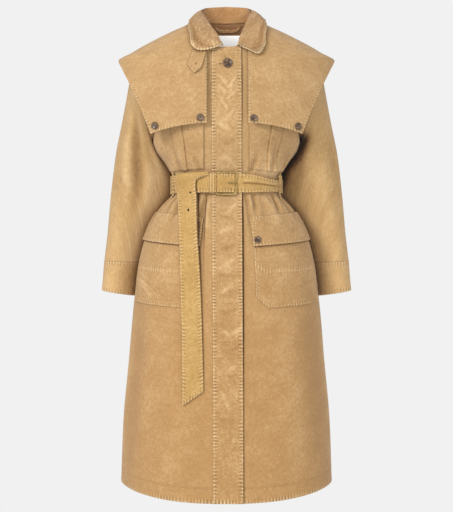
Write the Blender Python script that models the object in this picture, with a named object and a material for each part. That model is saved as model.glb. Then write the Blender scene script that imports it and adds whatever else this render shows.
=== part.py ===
"""A belted denim trench coat with a shoulder cape, filled out with no wearer.

Metres, +Z up. The origin lies between the shoulders, the front faces -Y and the
wearer's right is at -X. Every cloth piece is a wall between two offset faces of
one body form, so what lies on a panel is that panel moved out.
"""
import math

import bmesh
import bpy
import numpy as np

# Cloth and clearances
CLOTH = 0.0016
STRAP = 0.0022
SEAM = 0.0004
LAY = 0.0010
MIDDLE_GAP = 0.0004
SLEEVE_GAP = 0.0030
ELBOW = 6

# Heights
HEM = -1.080
HEM_RISE = 0.022
HEM_RISE_TOP = -0.800
UNDERARM = -0.245
SHOULDER_TIP = -0.031
NECK_TOP = 0.048
NECK_DIP = 0.082
DIP_START = -0.130
BELT_MID = -0.352
BELT_WIDTH = 0.042

# Rings of the body form: height, half width, depth to the front, depth to the back
BODY_RINGS = (
    (-1.080, 0.2515, 0.198, 0.197),
    (-0.890, 0.2412, 0.185, 0.184),
    (-0.760, 0.2290, 0.174, 0.172),
    (-0.615, 0.2185, 0.161, 0.158),
    (-0.535, 0.2090, 0.151, 0.144),
    (-0.485, 0.1960, 0.143, 0.134),
    (-0.440, 0.1790, 0.132, 0.120),
    (-0.405, 0.1560, 0.119, 0.105),
    (-0.375, 0.1295, 0.104, 0.088),
    (-0.352, 0.1260, 0.103, 0.086),
    (-0.329, 0.1280, 0.104, 0.088),
    (-0.290, 0.1510, 0.116, 0.101),
    (-0.245, 0.1720, 0.124, 0.111),
    (-0.200, 0.1760, 0.125, 0.112),
    (-0.120, 0.1870, 0.117, 0.106),
    (-0.060, 0.2010, 0.104, 0.094),
    (-0.031, 0.2060, 0.096, 0.087),
    (-0.015, 0.1760, 0.090, 0.081),
    (0.006, 0.1340, 0.081, 0.073),
    (0.024, 0.0980, 0.072, 0.067),
    (0.036, 0.0820, 0.066, 0.063),
    (0.048, 0.0720, 0.060, 0.060),
)

# Rings of the cape form, which stands clear of the chest and the sleeve heads
CAPE_TIP = -0.052
CAPE_RINGS = (
    (-0.260, 0.2560, 0.141, 0.128),
    (-0.200, 0.2580, 0.139, 0.126),
    (-0.120, 0.2600, 0.130, 0.119),
    (-0.080, 0.2600, 0.121, 0.111),
    (-0.062, 0.2600, 0.115, 0.106),
    (-0.052, 0.2590, 0.112, 0.103),
    (-0.0386, 0.2335, 0.106, 0.098),
    (-0.0226, 0.2065, 0.101, 0.092),
    (-0.0077, 0.1785, 0.095, 0.086),
    (0.0131, 0.1365, 0.086, 0.078),
    (0.0310, 0.0970, 0.077, 0.072),
    (0.0400, 0.0840, 0.072, 0.069),
    (0.0480, 0.0780, 0.067, 0.065),
)
CAPE_EDGE_RIGHT = 0.046
CAPE_EDGE_LEFT = 0.051
CAPE_TOP_FRONT = -0.026
CAPE_TOP_SIDE = 0.0405
CAPE_BOTTOM_FRONT = -0.214
CAPE_BOTTOM_SIDE = -0.2367
# Outer edge of the cape flaps: height, distance from the middle
CAPE_OUTER = (
    (-0.260, 0.1680),
    (-0.2367, 0.1762),
    (-0.2176, 0.1834),
    (-0.1157, 0.2280),
    (-0.0772, 0.2470),
    (-0.0580, 0.2565),
    (-0.0520, 0.2588),
)

# Belt ring, upright all round
BELT_RINGS = (
    (-0.400, 0.1335, 0.1125, 0.0945),
    (-0.300, 0.1335, 0.1125, 0.0945),
)

# Sleeve rings: outer x, outer z, inner x, inner z, middle y, half depth, set-back of the inner side
SLEEVE_RINGS = (
    (0.2165, -0.0425, 0.1765, -0.2440, 0.000, 0.0760, 0.000),
    (0.2280, -0.0680, 0.1780, -0.2470, 0.003, 0.0765, 0.000),
    (0.2365, -0.1150, 0.1735, -0.2580, 0.005, 0.0745, 0.009),
    (0.2510, -0.1900, 0.1560, -0.2800, 0.010, 0.0680, 0.028),
    (0.2680, -0.2700, 0.1330, -0.3120, 0.022, 0.0660, 0.034),
    (0.2780, -0.3400, 0.1270, -0.3500, 0.030, 0.0650, 0.036),
    (0.2830, -0.3850, 0.1410, -0.3920, 0.032, 0.0640, 0.036),
    (0.2865, -0.4250, 0.1670, -0.4300, 0.033, 0.0640, 0.036),
    (0.2905, -0.4700, 0.1880, -0.4750, 0.034, 0.0640, 0.034),
    (0.2980, -0.5330, 0.2065, -0.5380, 0.034, 0.0630, 0.032),
)
CUFF_RINGS = (
    (0.2985, -0.5345, 0.2060, -0.5395, 0.034, 0.0640, 0.032),
    (0.3010, -0.5700, 0.2140, -0.5790, 0.034, 0.0635, 0.032),
    (0.3040, -0.6040, 0.2205, -0.6180, 0.034, 0.0630, 0.032),
)
ARMHOLE_FRONT = 0.62
ARMHOLE_BACK = 0.60
ARMHOLE_STEPS = 8

# Collar stations from the front end (0) to the middle of the back (1):
# station, roll line x, y, z, angle and height of the outer edge on the cape form
COLLAR_STATIONS = (
    (0.00, 0.0085, -0.0955, -0.0290, 2.0, -0.0330),
    (0.06, 0.0130, -0.0930, -0.0200, 6.5, -0.0405),
    (0.14, 0.0220, -0.0810, -0.0010, 11.0, -0.0400),
    (0.26, 0.0360, -0.0590, 0.0220, 17.0, -0.0270),
    (0.42, 0.0500, -0.0300, 0.0480, 29.5, 0.0030),
    (0.60, 0.0580, 0.0040, 0.0680, 60.0, 0.0280),
    (0.80, 0.0450, 0.0420, 0.0840, 120.0, 0.0370),
    (1.00, 0.0000, 0.0580, 0.0905, 180.0, 0.0340),
)

# Shift of the left half of the collar, which lies lower and further out, in the same columns
COLLAR_SHIFT_LEFT = (
    (0.00, 0.0160, 0.0, -0.0030, 4.0, -0.0040),
    (0.06, 0.0140, 0.0, -0.0040, 4.0, -0.0055),
    (0.14, 0.0100, 0.0, -0.0040, 3.5, -0.0070),
    (0.26, 0.0060, 0.0, -0.0020, 2.5, -0.0040),
    (0.42, 0.0020, 0.0, 0.0, 1.5, -0.0020),
    (0.60, 0.0, 0.0, 0.0, 0.0, 0.0),
    (1.00, 0.0, 0.0, 0.0, 0.0, 0.0),
)

# Front closing
FRONT_EDGE_RIGHT = -0.022
FRONT_EDGE_LEFT = 0.006
PLACKET_TOP = -0.034
POCKET_FOOT = -0.318
PLACKET_RIGHT_CHEST = -0.0335
PLACKET_RIGHT_HEM = -0.0290
PLACKET_LEFT_CHEST = 0.0340
PLACKET_LEFT_HEM = 0.0370

# Waist gathers: folds on each front, depth, and how far they run from the belt
GATHER_FOLDS = 3
GATHER_DEPTH = 0.0045
GATHER_BELOW = -0.402
GATHER_REACH = 0.016

# Belt tail: height, right edge x, left edge x, distance out from the body
TAIL_ROWS = (
    (-0.864, -0.0985, -0.0525, 0.0045),
    (-0.829, -0.0985, -0.0525, 0.0045),
    (-0.760, -0.0990, -0.0540, 0.0045),
    (-0.680, -0.1000, -0.0560, 0.0055),
    (-0.600, -0.1020, -0.0590, 0.0075),
    (-0.520, -0.1030, -0.0630, 0.0110),
    (-0.470, -0.1040, -0.0660, 0.0125),
    (-0.430, -0.1050, -0.0670, 0.0130),
    (-0.390, -0.1060, -0.0680, 0.0165),
    (-0.365, -0.1066, -0.0686, 0.0178),
    (-0.352, -0.1070, -0.0675, 0.0187),
    (-0.343, -0.1070, -0.0610, 0.0200),
    (-0.337, -0.1068, -0.0500, 0.0203),
    (-0.3325, -0.1066, -0.0420, 0.0200),
    (-0.322, -0.1065, -0.0405, 0.0155),
)
TAIL_POINT_DROP = 0.033

# Buckle
BUCKLE_MID = (-0.001, -0.1152, -0.3525)
BUCKLE_HALF_WIDTH = 0.0255
BUCKLE_HALF_HEIGHT = 0.0275
BUCKLE_BAR = 0.0042
BUCKLE_THICK = 0.0025

# Buttons
NECK_BUTTON_RADIUS = 0.0112
SMALL_BUTTON_RADIUS = 0.0086
BUTTON_THICK = 0.0034
BUTTON_SIDES = 12

# Colours
DENIM = (0.60, 0.40, 0.19)
BELT_CLOTH = (0.63, 0.42, 0.17)
HORN = (0.20, 0.13, 0.08)
OLIVE_BRASS = (0.40, 0.26, 0.09)
WHITE = (0.85, 0.84, 0.81)

ROUNDNESS = 2.3
RIGHT_ANGLE = math.pi / 2


def smooth(rows, column, t):
    """A table's column at t, with its slope, by cubic pieces through the rows."""
    table = np.array(rows, dtype=float)
    xs = table[:, 0]
    ys = table[:, column]
    slopes = np.gradient(ys, xs)
    t = np.clip(np.asarray(t, dtype=float), xs[0], xs[-1])
    i = np.clip(np.searchsorted(xs, t) - 1, 0, len(xs) - 2)
    step = xs[i + 1] - xs[i]
    u = (t - xs[i]) / step
    value = (
        ys[i] * (1 + 2 * u) * (1 - u) ** 2
        + ys[i + 1] * u * u * (3 - 2 * u)
        + step * (slopes[i] * u * (1 - u) ** 2 - slopes[i + 1] * u * u * (1 - u))
    )
    slope = (
        6 * u * (1 - u) * (ys[i + 1] - ys[i]) / step
        + slopes[i] * (1 - u) * (1 - 3 * u)
        + slopes[i + 1] * u * (3 * u - 2)
    )
    return value, slope


def ease(low, high, t):
    """0 below low, 1 above high, smooth between."""
    u = np.clip((t - low) / (high - low), 0, 1)
    return u * u * (3 - 2 * u)


def skin(rings, angle, height, off):
    """Point of a ring form, moved out by off. Angle 0 is the front, +90 degrees is +X."""
    angle, height, off = np.broadcast_arrays(angle, height, off)
    wide, wide_slope = smooth(rings, 1, height)
    front, front_slope = smooth(rings, 2, height)
    back, back_slope = smooth(rings, 3, height)
    s = np.sin(angle)
    c = np.cos(angle)
    deep = np.where(c > 0, front, back)
    deep_slope = np.where(c > 0, front_slope, back_slope)
    power = 2 / ROUNDNESS
    point = np.stack(
        (
            wide * np.sign(s) * np.abs(s) ** power,
            -deep * np.sign(c) * np.abs(c) ** power,
            height,
        ),
        axis=-1,
    )
    normal = np.stack(
        (
            np.sign(s) * np.abs(s) ** (2 - power) / wide,
            -np.sign(c) * np.abs(c) ** (2 - power) / deep,
            -(s * s * wide_slope / wide + c * c * deep_slope / deep),
        ),
        axis=-1,
    )
    normal /= np.linalg.norm(normal, axis=-1, keepdims=True)
    return point + normal * off[..., None]


def angle_at(rings, x, height):
    """Angle on the front half where the form is x from the middle."""
    wide, _ = smooth(rings, 1, height)
    share = np.clip(np.abs(x) / wide, 0, 1) ** (ROUNDNESS / 2)
    return np.sign(x) * np.arcsin(share)


def gathers(angle, height):
    """How far the cloth folds out where the belt draws it in."""
    reach = np.exp(-(((height - GATHER_BELOW) / GATHER_REACH) ** 2))
    wave = np.cos(4 * GATHER_FOLDS * angle - np.pi)
    aside = np.sin(2 * angle) ** 2
    return GATHER_DEPTH * reach * wave * aside


def body(angle, height, off):
    """Point on the body form with its waist gathers."""
    return skin(BODY_RINGS, angle, height, off + gathers(angle, height))


def front(x, height, off):
    """Point on the front of the body, by its distance from the middle."""
    return body(angle_at(BODY_RINGS, x, height), height, off)


def cape(x, height, off):
    """Point on the front of the cape form, by its distance from the middle."""
    return skin(CAPE_RINGS, angle_at(CAPE_RINGS, x, height), height, off)


def material(name, colour, roughness, metallic):
    made = bpy.data.materials.new(name)
    made.use_nodes = True
    shader = made.node_tree.nodes["Principled BSDF"]
    shader.inputs["Base Color"].default_value = (*colour, 1.0)
    shader.inputs["Roughness"].default_value = roughness
    shader.inputs["Metallic"].default_value = metallic
    made.diffuse_color = (*colour, 1.0)
    return made


def add_mesh(name, points, faces, colour, roughness=0.85, metallic=0.0):
    """One closed object from points and faces, facing out."""
    mesh = bpy.data.meshes.new(name)
    mesh.from_pydata([tuple(map(float, p)) for p in points], [], faces)
    work = bmesh.new()
    work.from_mesh(mesh)
    bmesh.ops.recalc_face_normals(work, faces=work.faces)
    work.to_mesh(mesh)
    work.free()
    mesh.shade_smooth()
    thing = bpy.data.objects.new(name, mesh)
    bpy.context.scene.collection.objects.link(thing)
    mesh.materials.append(material(name, colour, roughness, metallic))
    return thing


def wall(name, outer, inner, colour=DENIM, wrap=False, roughness=0.85, metallic=0.0):
    """A cloth wall between two grids of points, its edges closed."""
    rows, columns = outer.shape[:2]
    points = np.concatenate((outer.reshape(-1, 3), inner.reshape(-1, 3)))
    back = rows * columns
    faces = []
    spans = columns if wrap else columns - 1
    for r in range(rows - 1):
        for c in range(spans):
            d = (c + 1) % columns
            a, b = r * columns + c, r * columns + d
            e, f = (r + 1) * columns + d, (r + 1) * columns + c
            one = np.linalg.norm(points[a] - points[e])
            other = np.linalg.norm(points[b] - points[f])
            halves = ((a, b, e), (a, e, f)) if one <= other else ((a, b, f), (b, e, f))
            for half in halves:
                faces.append(half)
                faces.append(tuple(back + k for k in reversed(half)))
    for r in (0, rows - 1):
        for c in range(spans):
            d = (c + 1) % columns
            a, b = r * columns + c, r * columns + d
            faces.append((a, back + a, back + b, b))
    if not wrap:
        for c in (0, columns - 1):
            for r in range(rows - 1):
                a, b = r * columns + c, (r + 1) * columns + c
                faces.append((a, b, back + b, back + a))
    return add_mesh(name, points, faces, colour, roughness, metallic)


def grid_normals(grid, wrap):
    """Unit normals of a grid of points, from its neighbours."""
    along = np.gradient(grid, axis=0)
    if wrap:
        across = np.roll(grid, -1, axis=1) - np.roll(grid, 1, axis=1)
    else:
        across = np.gradient(grid, axis=1)
    normal = np.cross(across, along)
    return normal / np.linalg.norm(normal, axis=-1, keepdims=True)


def arm_steps():
    """Heights of the armhole's rows, close together at both ends."""
    turn = np.linspace(0, math.pi, ARMHOLE_STEPS + 1)
    return UNDERARM + (SHOULDER_TIP - UNDERARM) * (1 - np.cos(turn)) / 2


def armhole(height, size):
    """Angle by which the armhole's edge lies in from the side."""
    share = np.clip((height - UNDERARM) / (SHOULDER_TIP - UNDERARM), 0, 1)
    return size * np.sin(math.pi * share) ** 0.7


def skirt_heights():
    lower = (HEM, -0.93, -0.78, -0.66, -0.585, -0.525, -0.475)
    upper = (-0.436, -0.418, -0.402, -0.387, -0.373, BELT_MID - SEAM / 2)
    return np.array(lower + upper)


def bodice_heights():
    waist = (BELT_MID + SEAM / 2, -0.331, POCKET_FOOT, -0.302, -0.270)
    shoulder = (-0.015, 0.006, 0.024, NECK_TOP)
    return np.concatenate((waist, arm_steps(), shoulder))


def seam_angle(size):
    return 0.0008 + size


def hem_rise(share, height):
    """How far the hem is raised: share 0 is the middle of the front or back, 1 the side seam."""
    return HEM_RISE * np.sin(share * RIGHT_ANGLE) ** 2 * (1 - ease(HEM, HEM_RISE_TOP, height))


def front_panel(name, side, middle_x, heights):
    """A stretch of one front, from under the placket to the side seam and armhole."""
    share = np.linspace(0, 1, 4 * GATHER_FOLDS + 1)[None, :]
    rows = heights[:, None]
    dip = NECK_DIP * np.cos(share * RIGHT_ANGLE) ** 2
    height = rows - dip * ease(DIP_START, NECK_TOP, rows)
    height = height + hem_rise(share, rows)
    middle = angle_at(BODY_RINGS, middle_x, height)
    edge = side * (RIGHT_ANGLE - seam_angle(armhole(rows, ARMHOLE_FRONT)))
    angle = middle + share * (edge - middle)
    wall(name, body(angle, height, CLOTH), body(angle, height, 0.0))


def back_panel(name, side, heights):
    """A stretch of one half of the back, from the side seam to the middle seam."""
    share = np.linspace(0, 1, 3 * GATHER_FOLDS + 1)[None, :]
    rows = heights[:, None]
    height = rows + hem_rise(1 - share, rows)
    edge = RIGHT_ANGLE + seam_angle(armhole(rows, ARMHOLE_BACK))
    angle = side * (edge + share * (math.pi - MIDDLE_GAP - edge))
    wall(name, body(angle, height, CLOTH), body(angle, height, 0.0))


def ring_points(rows, side, turn):
    """Rings of a sleeve or cuff, from the shoulder down; turn 0 is the outer side."""
    rings = []
    for outer_x, outer_z, inner_x, inner_z, middle_y, depth, set_back in rows:
        swing = np.cos(turn)
        x = (outer_x + inner_x) / 2 + (outer_x - inner_x) / 2 * swing
        z = (outer_z + inner_z) / 2 + (outer_z - inner_z) / 2 * swing
        y = middle_y - depth * np.sin(turn) + set_back * (1 - swing) / 2
        rings.append(np.stack((side * x, y, z), axis=-1))
    return np.array(rings)


def armhole_ring(side, inset, lift, turn):
    """The sleeve's first edge, set into the armhole by inset and lift."""
    height = UNDERARM + (SHOULDER_TIP - UNDERARM) * (1 + np.cos(turn)) / 2
    sewn = np.clip(height, UNDERARM + lift, SHOULDER_TIP - lift)
    ahead = np.sin(turn) > 0
    size = np.where(ahead, ARMHOLE_FRONT, ARMHOLE_BACK)
    reach = np.maximum(armhole(height, size) - inset, SLEEVE_GAP / 2)
    angle = RIGHT_ANGLE + np.where(ahead, -reach, reach)
    return skin(BODY_RINGS, side * angle, sewn, CLOTH / 2)


def sleeve_half(name, side, first):
    """The front or back half of a sleeve, above and below the elbow.

    First is the turn at its outer or inner seam.
    """
    step = math.pi / ARMHOLE_STEPS
    inside = first + step * np.arange(1, ARMHOLE_STEPS)
    ends = (first + SLEEVE_GAP, first + math.pi - SLEEVE_GAP)
    turn = np.concatenate(((first - step, ends[0]), inside, (ends[1], first + math.pi + step)))
    lower = ring_points(SLEEVE_RINGS, side, turn)
    outer = np.concatenate((armhole_ring(side, 0.010, 0.0014, turn)[None], lower))
    inner = outer - grid_normals(outer, False) * side * CLOTH
    inner[0] = armhole_ring(side, 0.024, 0.0032, turn)
    lift = outer[ELBOW - 1] - outer[ELBOW]
    lift = lift / np.linalg.norm(lift, axis=-1, keepdims=True) * SEAM / 2
    for level, rows, move in (("upper_", slice(0, ELBOW + 1), lift), ("lower_", slice(ELBOW, None), -lift)):
        far, near = outer[rows].copy(), inner[rows].copy()
        cut = -1 if level == "upper_" else 0
        far[cut] += move
        near[cut] += move
        wall(level + name, far[:, 1:-1], near[:, 1:-1])


def cuff(name, side):
    turn = np.linspace(0, 2 * math.pi, 2 * ARMHOLE_STEPS, endpoint=False)
    outer = ring_points(CUFF_RINGS, side, turn)
    normal = grid_normals(outer, True) * side
    wall(name, outer, outer - normal * CLOTH * 1.6, wrap=True)


def cape_front(name, side, edge_x):
    """One front flap of the cape, from its front edge to its outer edge and tip."""
    share = np.linspace(0, 1, 11)[None, :]
    rows = np.array((CAPE_BOTTOM_SIDE, -0.195, -0.150, -0.108, CAPE_TIP,
                     -0.0226, -0.0077, 0.0131, CAPE_TOP_SIDE))[:, None]
    rise = (rows - CAPE_BOTTOM_SIDE) / (CAPE_TOP_SIDE - CAPE_BOTTOM_SIDE)
    bottom = CAPE_BOTTOM_FRONT + (CAPE_BOTTOM_SIDE - CAPE_BOTTOM_FRONT) * share ** 1.5
    top = CAPE_TOP_FRONT + (CAPE_TOP_SIDE - CAPE_TOP_FRONT) * share ** 0.38
    height = bottom + (top - bottom) * rise
    middle = angle_at(CAPE_RINGS, edge_x, height)
    outer = angle_at(CAPE_RINGS, smooth(CAPE_OUTER, 1, rows)[0], rows)
    outer = np.where(rows > CAPE_TIP - 0.001, RIGHT_ANGLE - 0.002, outer)
    angle = side * (middle + share * (outer - middle))
    wall(name, skin(CAPE_RINGS, angle, height, CLOTH), skin(CAPE_RINGS, angle, height, 0.0))


def cape_back():
    share = np.linspace(0, 1, 17)[None, :]
    height = np.array((-0.258, -0.205, -0.155, -0.108, CAPE_TIP,
                       -0.0226, -0.0077, 0.0131, CAPE_TOP_SIDE))[:, None]
    reach = angle_at(CAPE_RINGS, smooth(CAPE_OUTER, 1, height)[0], height)
    reach = np.where(height > CAPE_TIP - 0.001, RIGHT_ANGLE - 0.002, reach)
    edge = math.pi - reach
    angle = edge + share * (2 * math.pi - 2 * edge)
    wall("cape_back", skin(CAPE_RINGS, angle, height, CLOTH),
         skin(CAPE_RINGS, angle, height, 0.0))


def collar_lines():
    """Roll line and outer edge of the collar, from the right front end to the left one."""
    share = np.linspace(0, 1, 15) ** 1.25
    station = np.concatenate((share, share[::-1][1:]))
    side = np.concatenate((-np.ones(15), np.ones(14)))
    lower = side > 0
    x, y, z, angle, height = (smooth(COLLAR_STATIONS, k, station)[0]
                              + lower * smooth(COLLAR_SHIFT_LEFT, k, station)[0] for k in range(1, 6))
    roll = np.stack((side * x, y, z), axis=-1)
    turn = side * np.radians(angle)
    edge = skin(CAPE_RINGS, turn, height, CLOTH + 0.0040 + 0.0020 * lower)
    share_round = side * math.pi * (0.04 + 0.96 * station)
    dip = NECK_DIP * np.clip(np.cos(share_round), 0, 1) ** 2
    neck = skin(BODY_RINGS, share_round, NECK_TOP - dip, 0.0)
    return roll, edge, neck


def collar():
    roll, edge, neck = collar_lines()
    outward = roll * np.array((1.0, 1.0, 0.0))
    outward = outward / np.linalg.norm(outward, axis=-1, keepdims=True)
    up = np.array((0.0, 0.0, 1.0))
    stand = [neck + (roll - neck) * v + up * 0.002 * (1 - v) for v in (0.0, 0.5, 1.0)]
    stand = np.array(stand)
    wall("collar_stand", stand, stand - outward[None] * CLOTH)
    start = roll + outward * (CLOTH + SEAM) + up * 0.0008
    crest = start + (edge - start) * np.array((0.57, 0.57, 0.22)) + up * 0.004
    rows = []
    for v in np.linspace(0, 1, 6):
        rows.append(start * (1 - v) ** 2 + crest * 2 * v * (1 - v) + edge * v * v)
    under = np.array(rows)
    normal = grid_normals(under, False)
    normal = normal * np.sign(np.sum(normal * (outward + up)[None], axis=-1))[..., None]
    wall("collar_fall", under + normal * CLOTH, under)


def placket():
    bodice = bodice_heights()
    chest = (-0.12, -0.09, -0.06, PLACKET_TOP)
    height = np.concatenate((skirt_heights(), bodice[1:][bodice[1:] < -0.14], chest))[:, None]
    fall = ease(HEM, -0.1, height)
    right = PLACKET_RIGHT_HEM + (PLACKET_RIGHT_CHEST - PLACKET_RIGHT_HEM) * fall
    left = PLACKET_LEFT_HEM + (PLACKET_LEFT_CHEST - PLACKET_LEFT_HEM) * fall
    x = right + (left - right) * np.linspace(0, 1, 5)[None, :]
    low = CLOTH + LAY
    wall("placket", front(x, height, low + CLOTH), front(x, height, low))


def throat_tab():
    """The tab that hangs under the right collar, with its pointed end."""
    x = np.array((-0.0895, -0.0820, -0.0745, -0.0660, -0.0575))[None, :]
    end = np.array((-0.0800, -0.0900, -0.0995, -0.0930, -0.0860))[None, :]
    rise = np.linspace(0, 1, 5)[:, None]
    height = end + (-0.046 - end) * rise
    low = CLOTH + LAY
    wall("throat_tab", cape(x, height, low + CLOTH), cape(x, height, low))


def chest_pocket(name, side):
    """Patch pocket with a raised pleat, its top under the cape."""
    rows = bodice_heights()
    height = rows[(rows > POCKET_FOOT - 0.001) & (rows < -0.17)][:, None]
    drop = (height + 0.230) / -0.085
    pleat_in = 0.1034 - 0.0125 * drop
    pleat_out = 0.1270 - 0.0185 * drop
    inner = angle_at(BODY_RINGS, 0.052 + 0 * height, height)
    fold_in = angle_at(BODY_RINGS, pleat_in, height)
    fold_out = angle_at(BODY_RINGS, pleat_out, height)
    outer = np.minimum(np.radians(76.0), RIGHT_ANGLE - armhole(height, ARMHOLE_FRONT) - 0.10)
    edges = [inner + (fold_in - 0.012 - inner) * k / 4 for k in range(5)]
    edges += [fold_in, (fold_in + fold_out) / 2, fold_out]
    edges += [fold_out + 0.012 + (outer - fold_out - 0.012) * k / 4 for k in range(5)]
    angle = side * np.concatenate(edges, axis=1)
    raised = np.array((0,) * 5 + (1,) * 3 + (0,) * 5) * 0.0016
    low = CLOTH + LAY + raised[None, :]
    wall(name, body(angle, height, low + CLOTH), body(angle, height, low))


def hip_patch(name, side, columns, low):
    """A pocket or flap: columns of front-view x or angle, top height and bottom height."""
    share = np.linspace(0, 1, 8)[:, None]
    angle = np.array([row[0] for row in columns])[None, :]
    top = np.array([row[1] for row in columns])[None, :]
    bottom = np.array([row[2] for row in columns])[None, :]
    height = bottom + (top - bottom) * share
    angle = side * angle + 0 * height
    wall(name, body(angle, height, low + CLOTH), body(angle, height, low))


def hip_columns(front_x, front_height, end_angle, top, bottom, cut):
    """Evenly turned columns of a hip patch; cut is the height of its clipped front corner."""
    first = float(angle_at(BODY_RINGS, front_x, front_height))
    columns = []
    for k, share in enumerate(np.linspace(0, 1, 10)):
        low = bottom[0] + (bottom[1] - bottom[0]) * share
        if k == 0:
            low = low + cut
        high = top[0] + (top[1] - top[0]) * share
        columns.append((first + (end_angle - first) * share, high, low))
    return columns


def hip_pocket(name, side):
    columns = hip_columns(0.066, -0.56, math.radians(77), (-0.447, -0.440), (-0.642, -0.628), 0.029)
    hip_patch(name, side, columns, CLOTH + LAY)


def hip_flap(name, side):
    columns = hip_columns(0.058, -0.47, math.radians(77), (-0.4335, -0.4200), (-0.500, -0.484), 0.0)
    hip_patch(name, side, columns, 2 * CLOTH + 2 * LAY)


def belt_strap():
    """The strap from the buckle round the back, then up over the buckle's heel bar."""
    start = -angle_at(BELT_RINGS, 0.021, BELT_MID)
    end = -2 * math.pi - angle_at(BELT_RINGS, 0.066, BELT_MID)
    body_part = np.linspace(start, -2 * math.pi + 0.25, 45)
    lap_part = np.linspace(-2 * math.pi + 0.25, end, 15)
    angle = np.concatenate((body_part, lap_part[1:]))[None, :]
    height = BELT_MID + BELT_WIDTH * np.array((0.5, -0.5))[:, None]
    lapped = skin(BELT_RINGS, angle, height + 0 * angle, 0.0)[..., 0]
    over = angle < -2 * math.pi + 0.25
    rise = 0.0072 * (1 - ease(-0.019, 0.016, lapped)) - 0.0030 * (1 - ease(-0.062, -0.042, lapped))
    low = np.where(over, rise, 0.0)
    outer = skin(BELT_RINGS, angle, height + 0 * angle, low + STRAP)
    inner = skin(BELT_RINGS, angle, height + 0 * angle, low)
    wall("belt_strap", outer, inner, BELT_CLOTH)


def belt_tail():
    """The loose end, looped over the belt and hanging down the right front."""
    height = np.array((-0.829, -0.76, -0.69, -0.63, -0.58, -0.535, -0.495, -0.46, -0.435, -0.418,
                       -0.402, -0.387, -0.373, -0.362, -0.352, -0.343, -0.337, -0.3325, -0.322))[:, None]
    share = np.linspace(0, 1, 5)[None, :]
    outer_x, inner_x, low = (smooth(TAIL_ROWS, k, height)[0] for k in (1, 2, 3))
    x = outer_x + (inner_x - outer_x) * share
    slant = np.where(height < -0.82, TAIL_POINT_DROP, 0.0) * (1 - share)
    height = height - slant
    wide = skin(BODY_RINGS, angle_at(BODY_RINGS, x, height), height, low + STRAP)
    thin = skin(BODY_RINGS, angle_at(BODY_RINGS, x, height), height, low)
    wall("belt_tail", wide, thin, BELT_CLOTH)


def frame_ring(middle, half_x, half_z, bar, thick, corner):
    """Outer and inner outline rings of a flat frame with round corners."""
    turn = np.linspace(0, 2 * math.pi, 32, endpoint=False)
    c, s = np.cos(turn), np.sin(turn)
    square = np.sign(c) * np.abs(c) ** corner, np.sign(s) * np.abs(s) ** corner
    loops = []
    for inset, y in ((0, -thick), (0, 0), (bar, 0), (bar, -thick)):
        loops.append(np.stack((middle[0] + (half_x - inset) * square[0],
                               middle[1] + y + 0 * turn,
                               middle[2] + (half_z - inset) * square[1]), axis=-1))
    return np.array(loops)


def ring_solid(name, loops, colour, roughness, metallic):
    """A closed ring of four loops, each joined to the next."""
    count, columns = loops.shape[:2]
    faces = []
    for r in range(count):
        for c in range(columns):
            n, d = (r + 1) % count, (c + 1) % columns
            faces.append((r * columns + c, r * columns + d, n * columns + d, n * columns + c))
    add_mesh(name, loops.reshape(-1, 3), faces, colour, roughness, metallic)


def buckle():
    loops = frame_ring(BUCKLE_MID, BUCKLE_HALF_WIDTH, BUCKLE_HALF_HEIGHT, BUCKLE_BAR, BUCKLE_THICK, 0.25)
    ring_solid("belt_buckle", loops, OLIVE_BRASS, 0.4, 0.8)
    front_y = BUCKLE_MID[1] - BUCKLE_THICK - SEAM
    rows = []
    for x in (0.003, 0.012, 0.0245):
        rows.append([(x, front_y - t, BELT_MID + w) for t, w in
                     ((0.0, -0.0015), (0.0, 0.0015), (0.002, 0.0011), (0.002, -0.0011))])
    bar = np.array(rows)
    faces = [(0, 1, 2, 3), (8, 9, 10, 11)]
    for r in range(2):
        for c in range(4):
            d = (c + 1) % 4
            faces.append((4 * r + c, 4 * r + d, 4 * r + 4 + d, 4 * r + 4 + c))
    add_mesh("belt_prong", bar.reshape(-1, 3), faces, OLIVE_BRASS, 0.4, 0.8)


def keeper():
    """Loop of cloth that holds both layers of the strap beside the buckle."""
    half = BELT_WIDTH / 2 + SEAM
    loops = []
    for x, grow in ((-0.0385, 0.0012), (-0.0285, 0.0012), (-0.0285, 0.0), (-0.0385, 0.0)):
        near = -0.1207 - grow
        far = -0.1088 + grow
        corners = ((near, half + grow), (near, -half - grow), (far, -half - grow), (far, half + grow))
        loops.append([(x, y, BELT_MID + z) for y, z in corners])
    ring_solid("belt_keeper", np.array(loops), BELT_CLOTH, 0.85, 0.0)


def belt_loop(name, side):
    """Narrow strip over the belt at the side, sewn above and below it."""
    angle = side * (np.radians(67.0) + np.array((-0.035, 0.0, 0.035)))
    rows = []
    for height, lift in ((-0.394, 0.0008), (-0.386, 0.0020)):
        rows.append(body(angle, height, CLOTH + lift))
    for height in (-0.3765, BELT_MID, -0.3285):
        rows.append(skin(BELT_RINGS, angle, height, STRAP + SEAM))
    for height, lift in ((-0.3245, 0.0035), (-0.3195, 0.0008)):
        rows.append(body(angle, height, CLOTH + lift))
    inner = np.array(rows)
    normal = grid_normals(inner, False)
    normal = normal * np.sign(np.sum(normal * inner * (1.0, 1.0, 0.0), axis=-1, keepdims=True))
    wall(name, inner + normal * CLOTH, inner, BELT_CLOTH)


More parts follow.
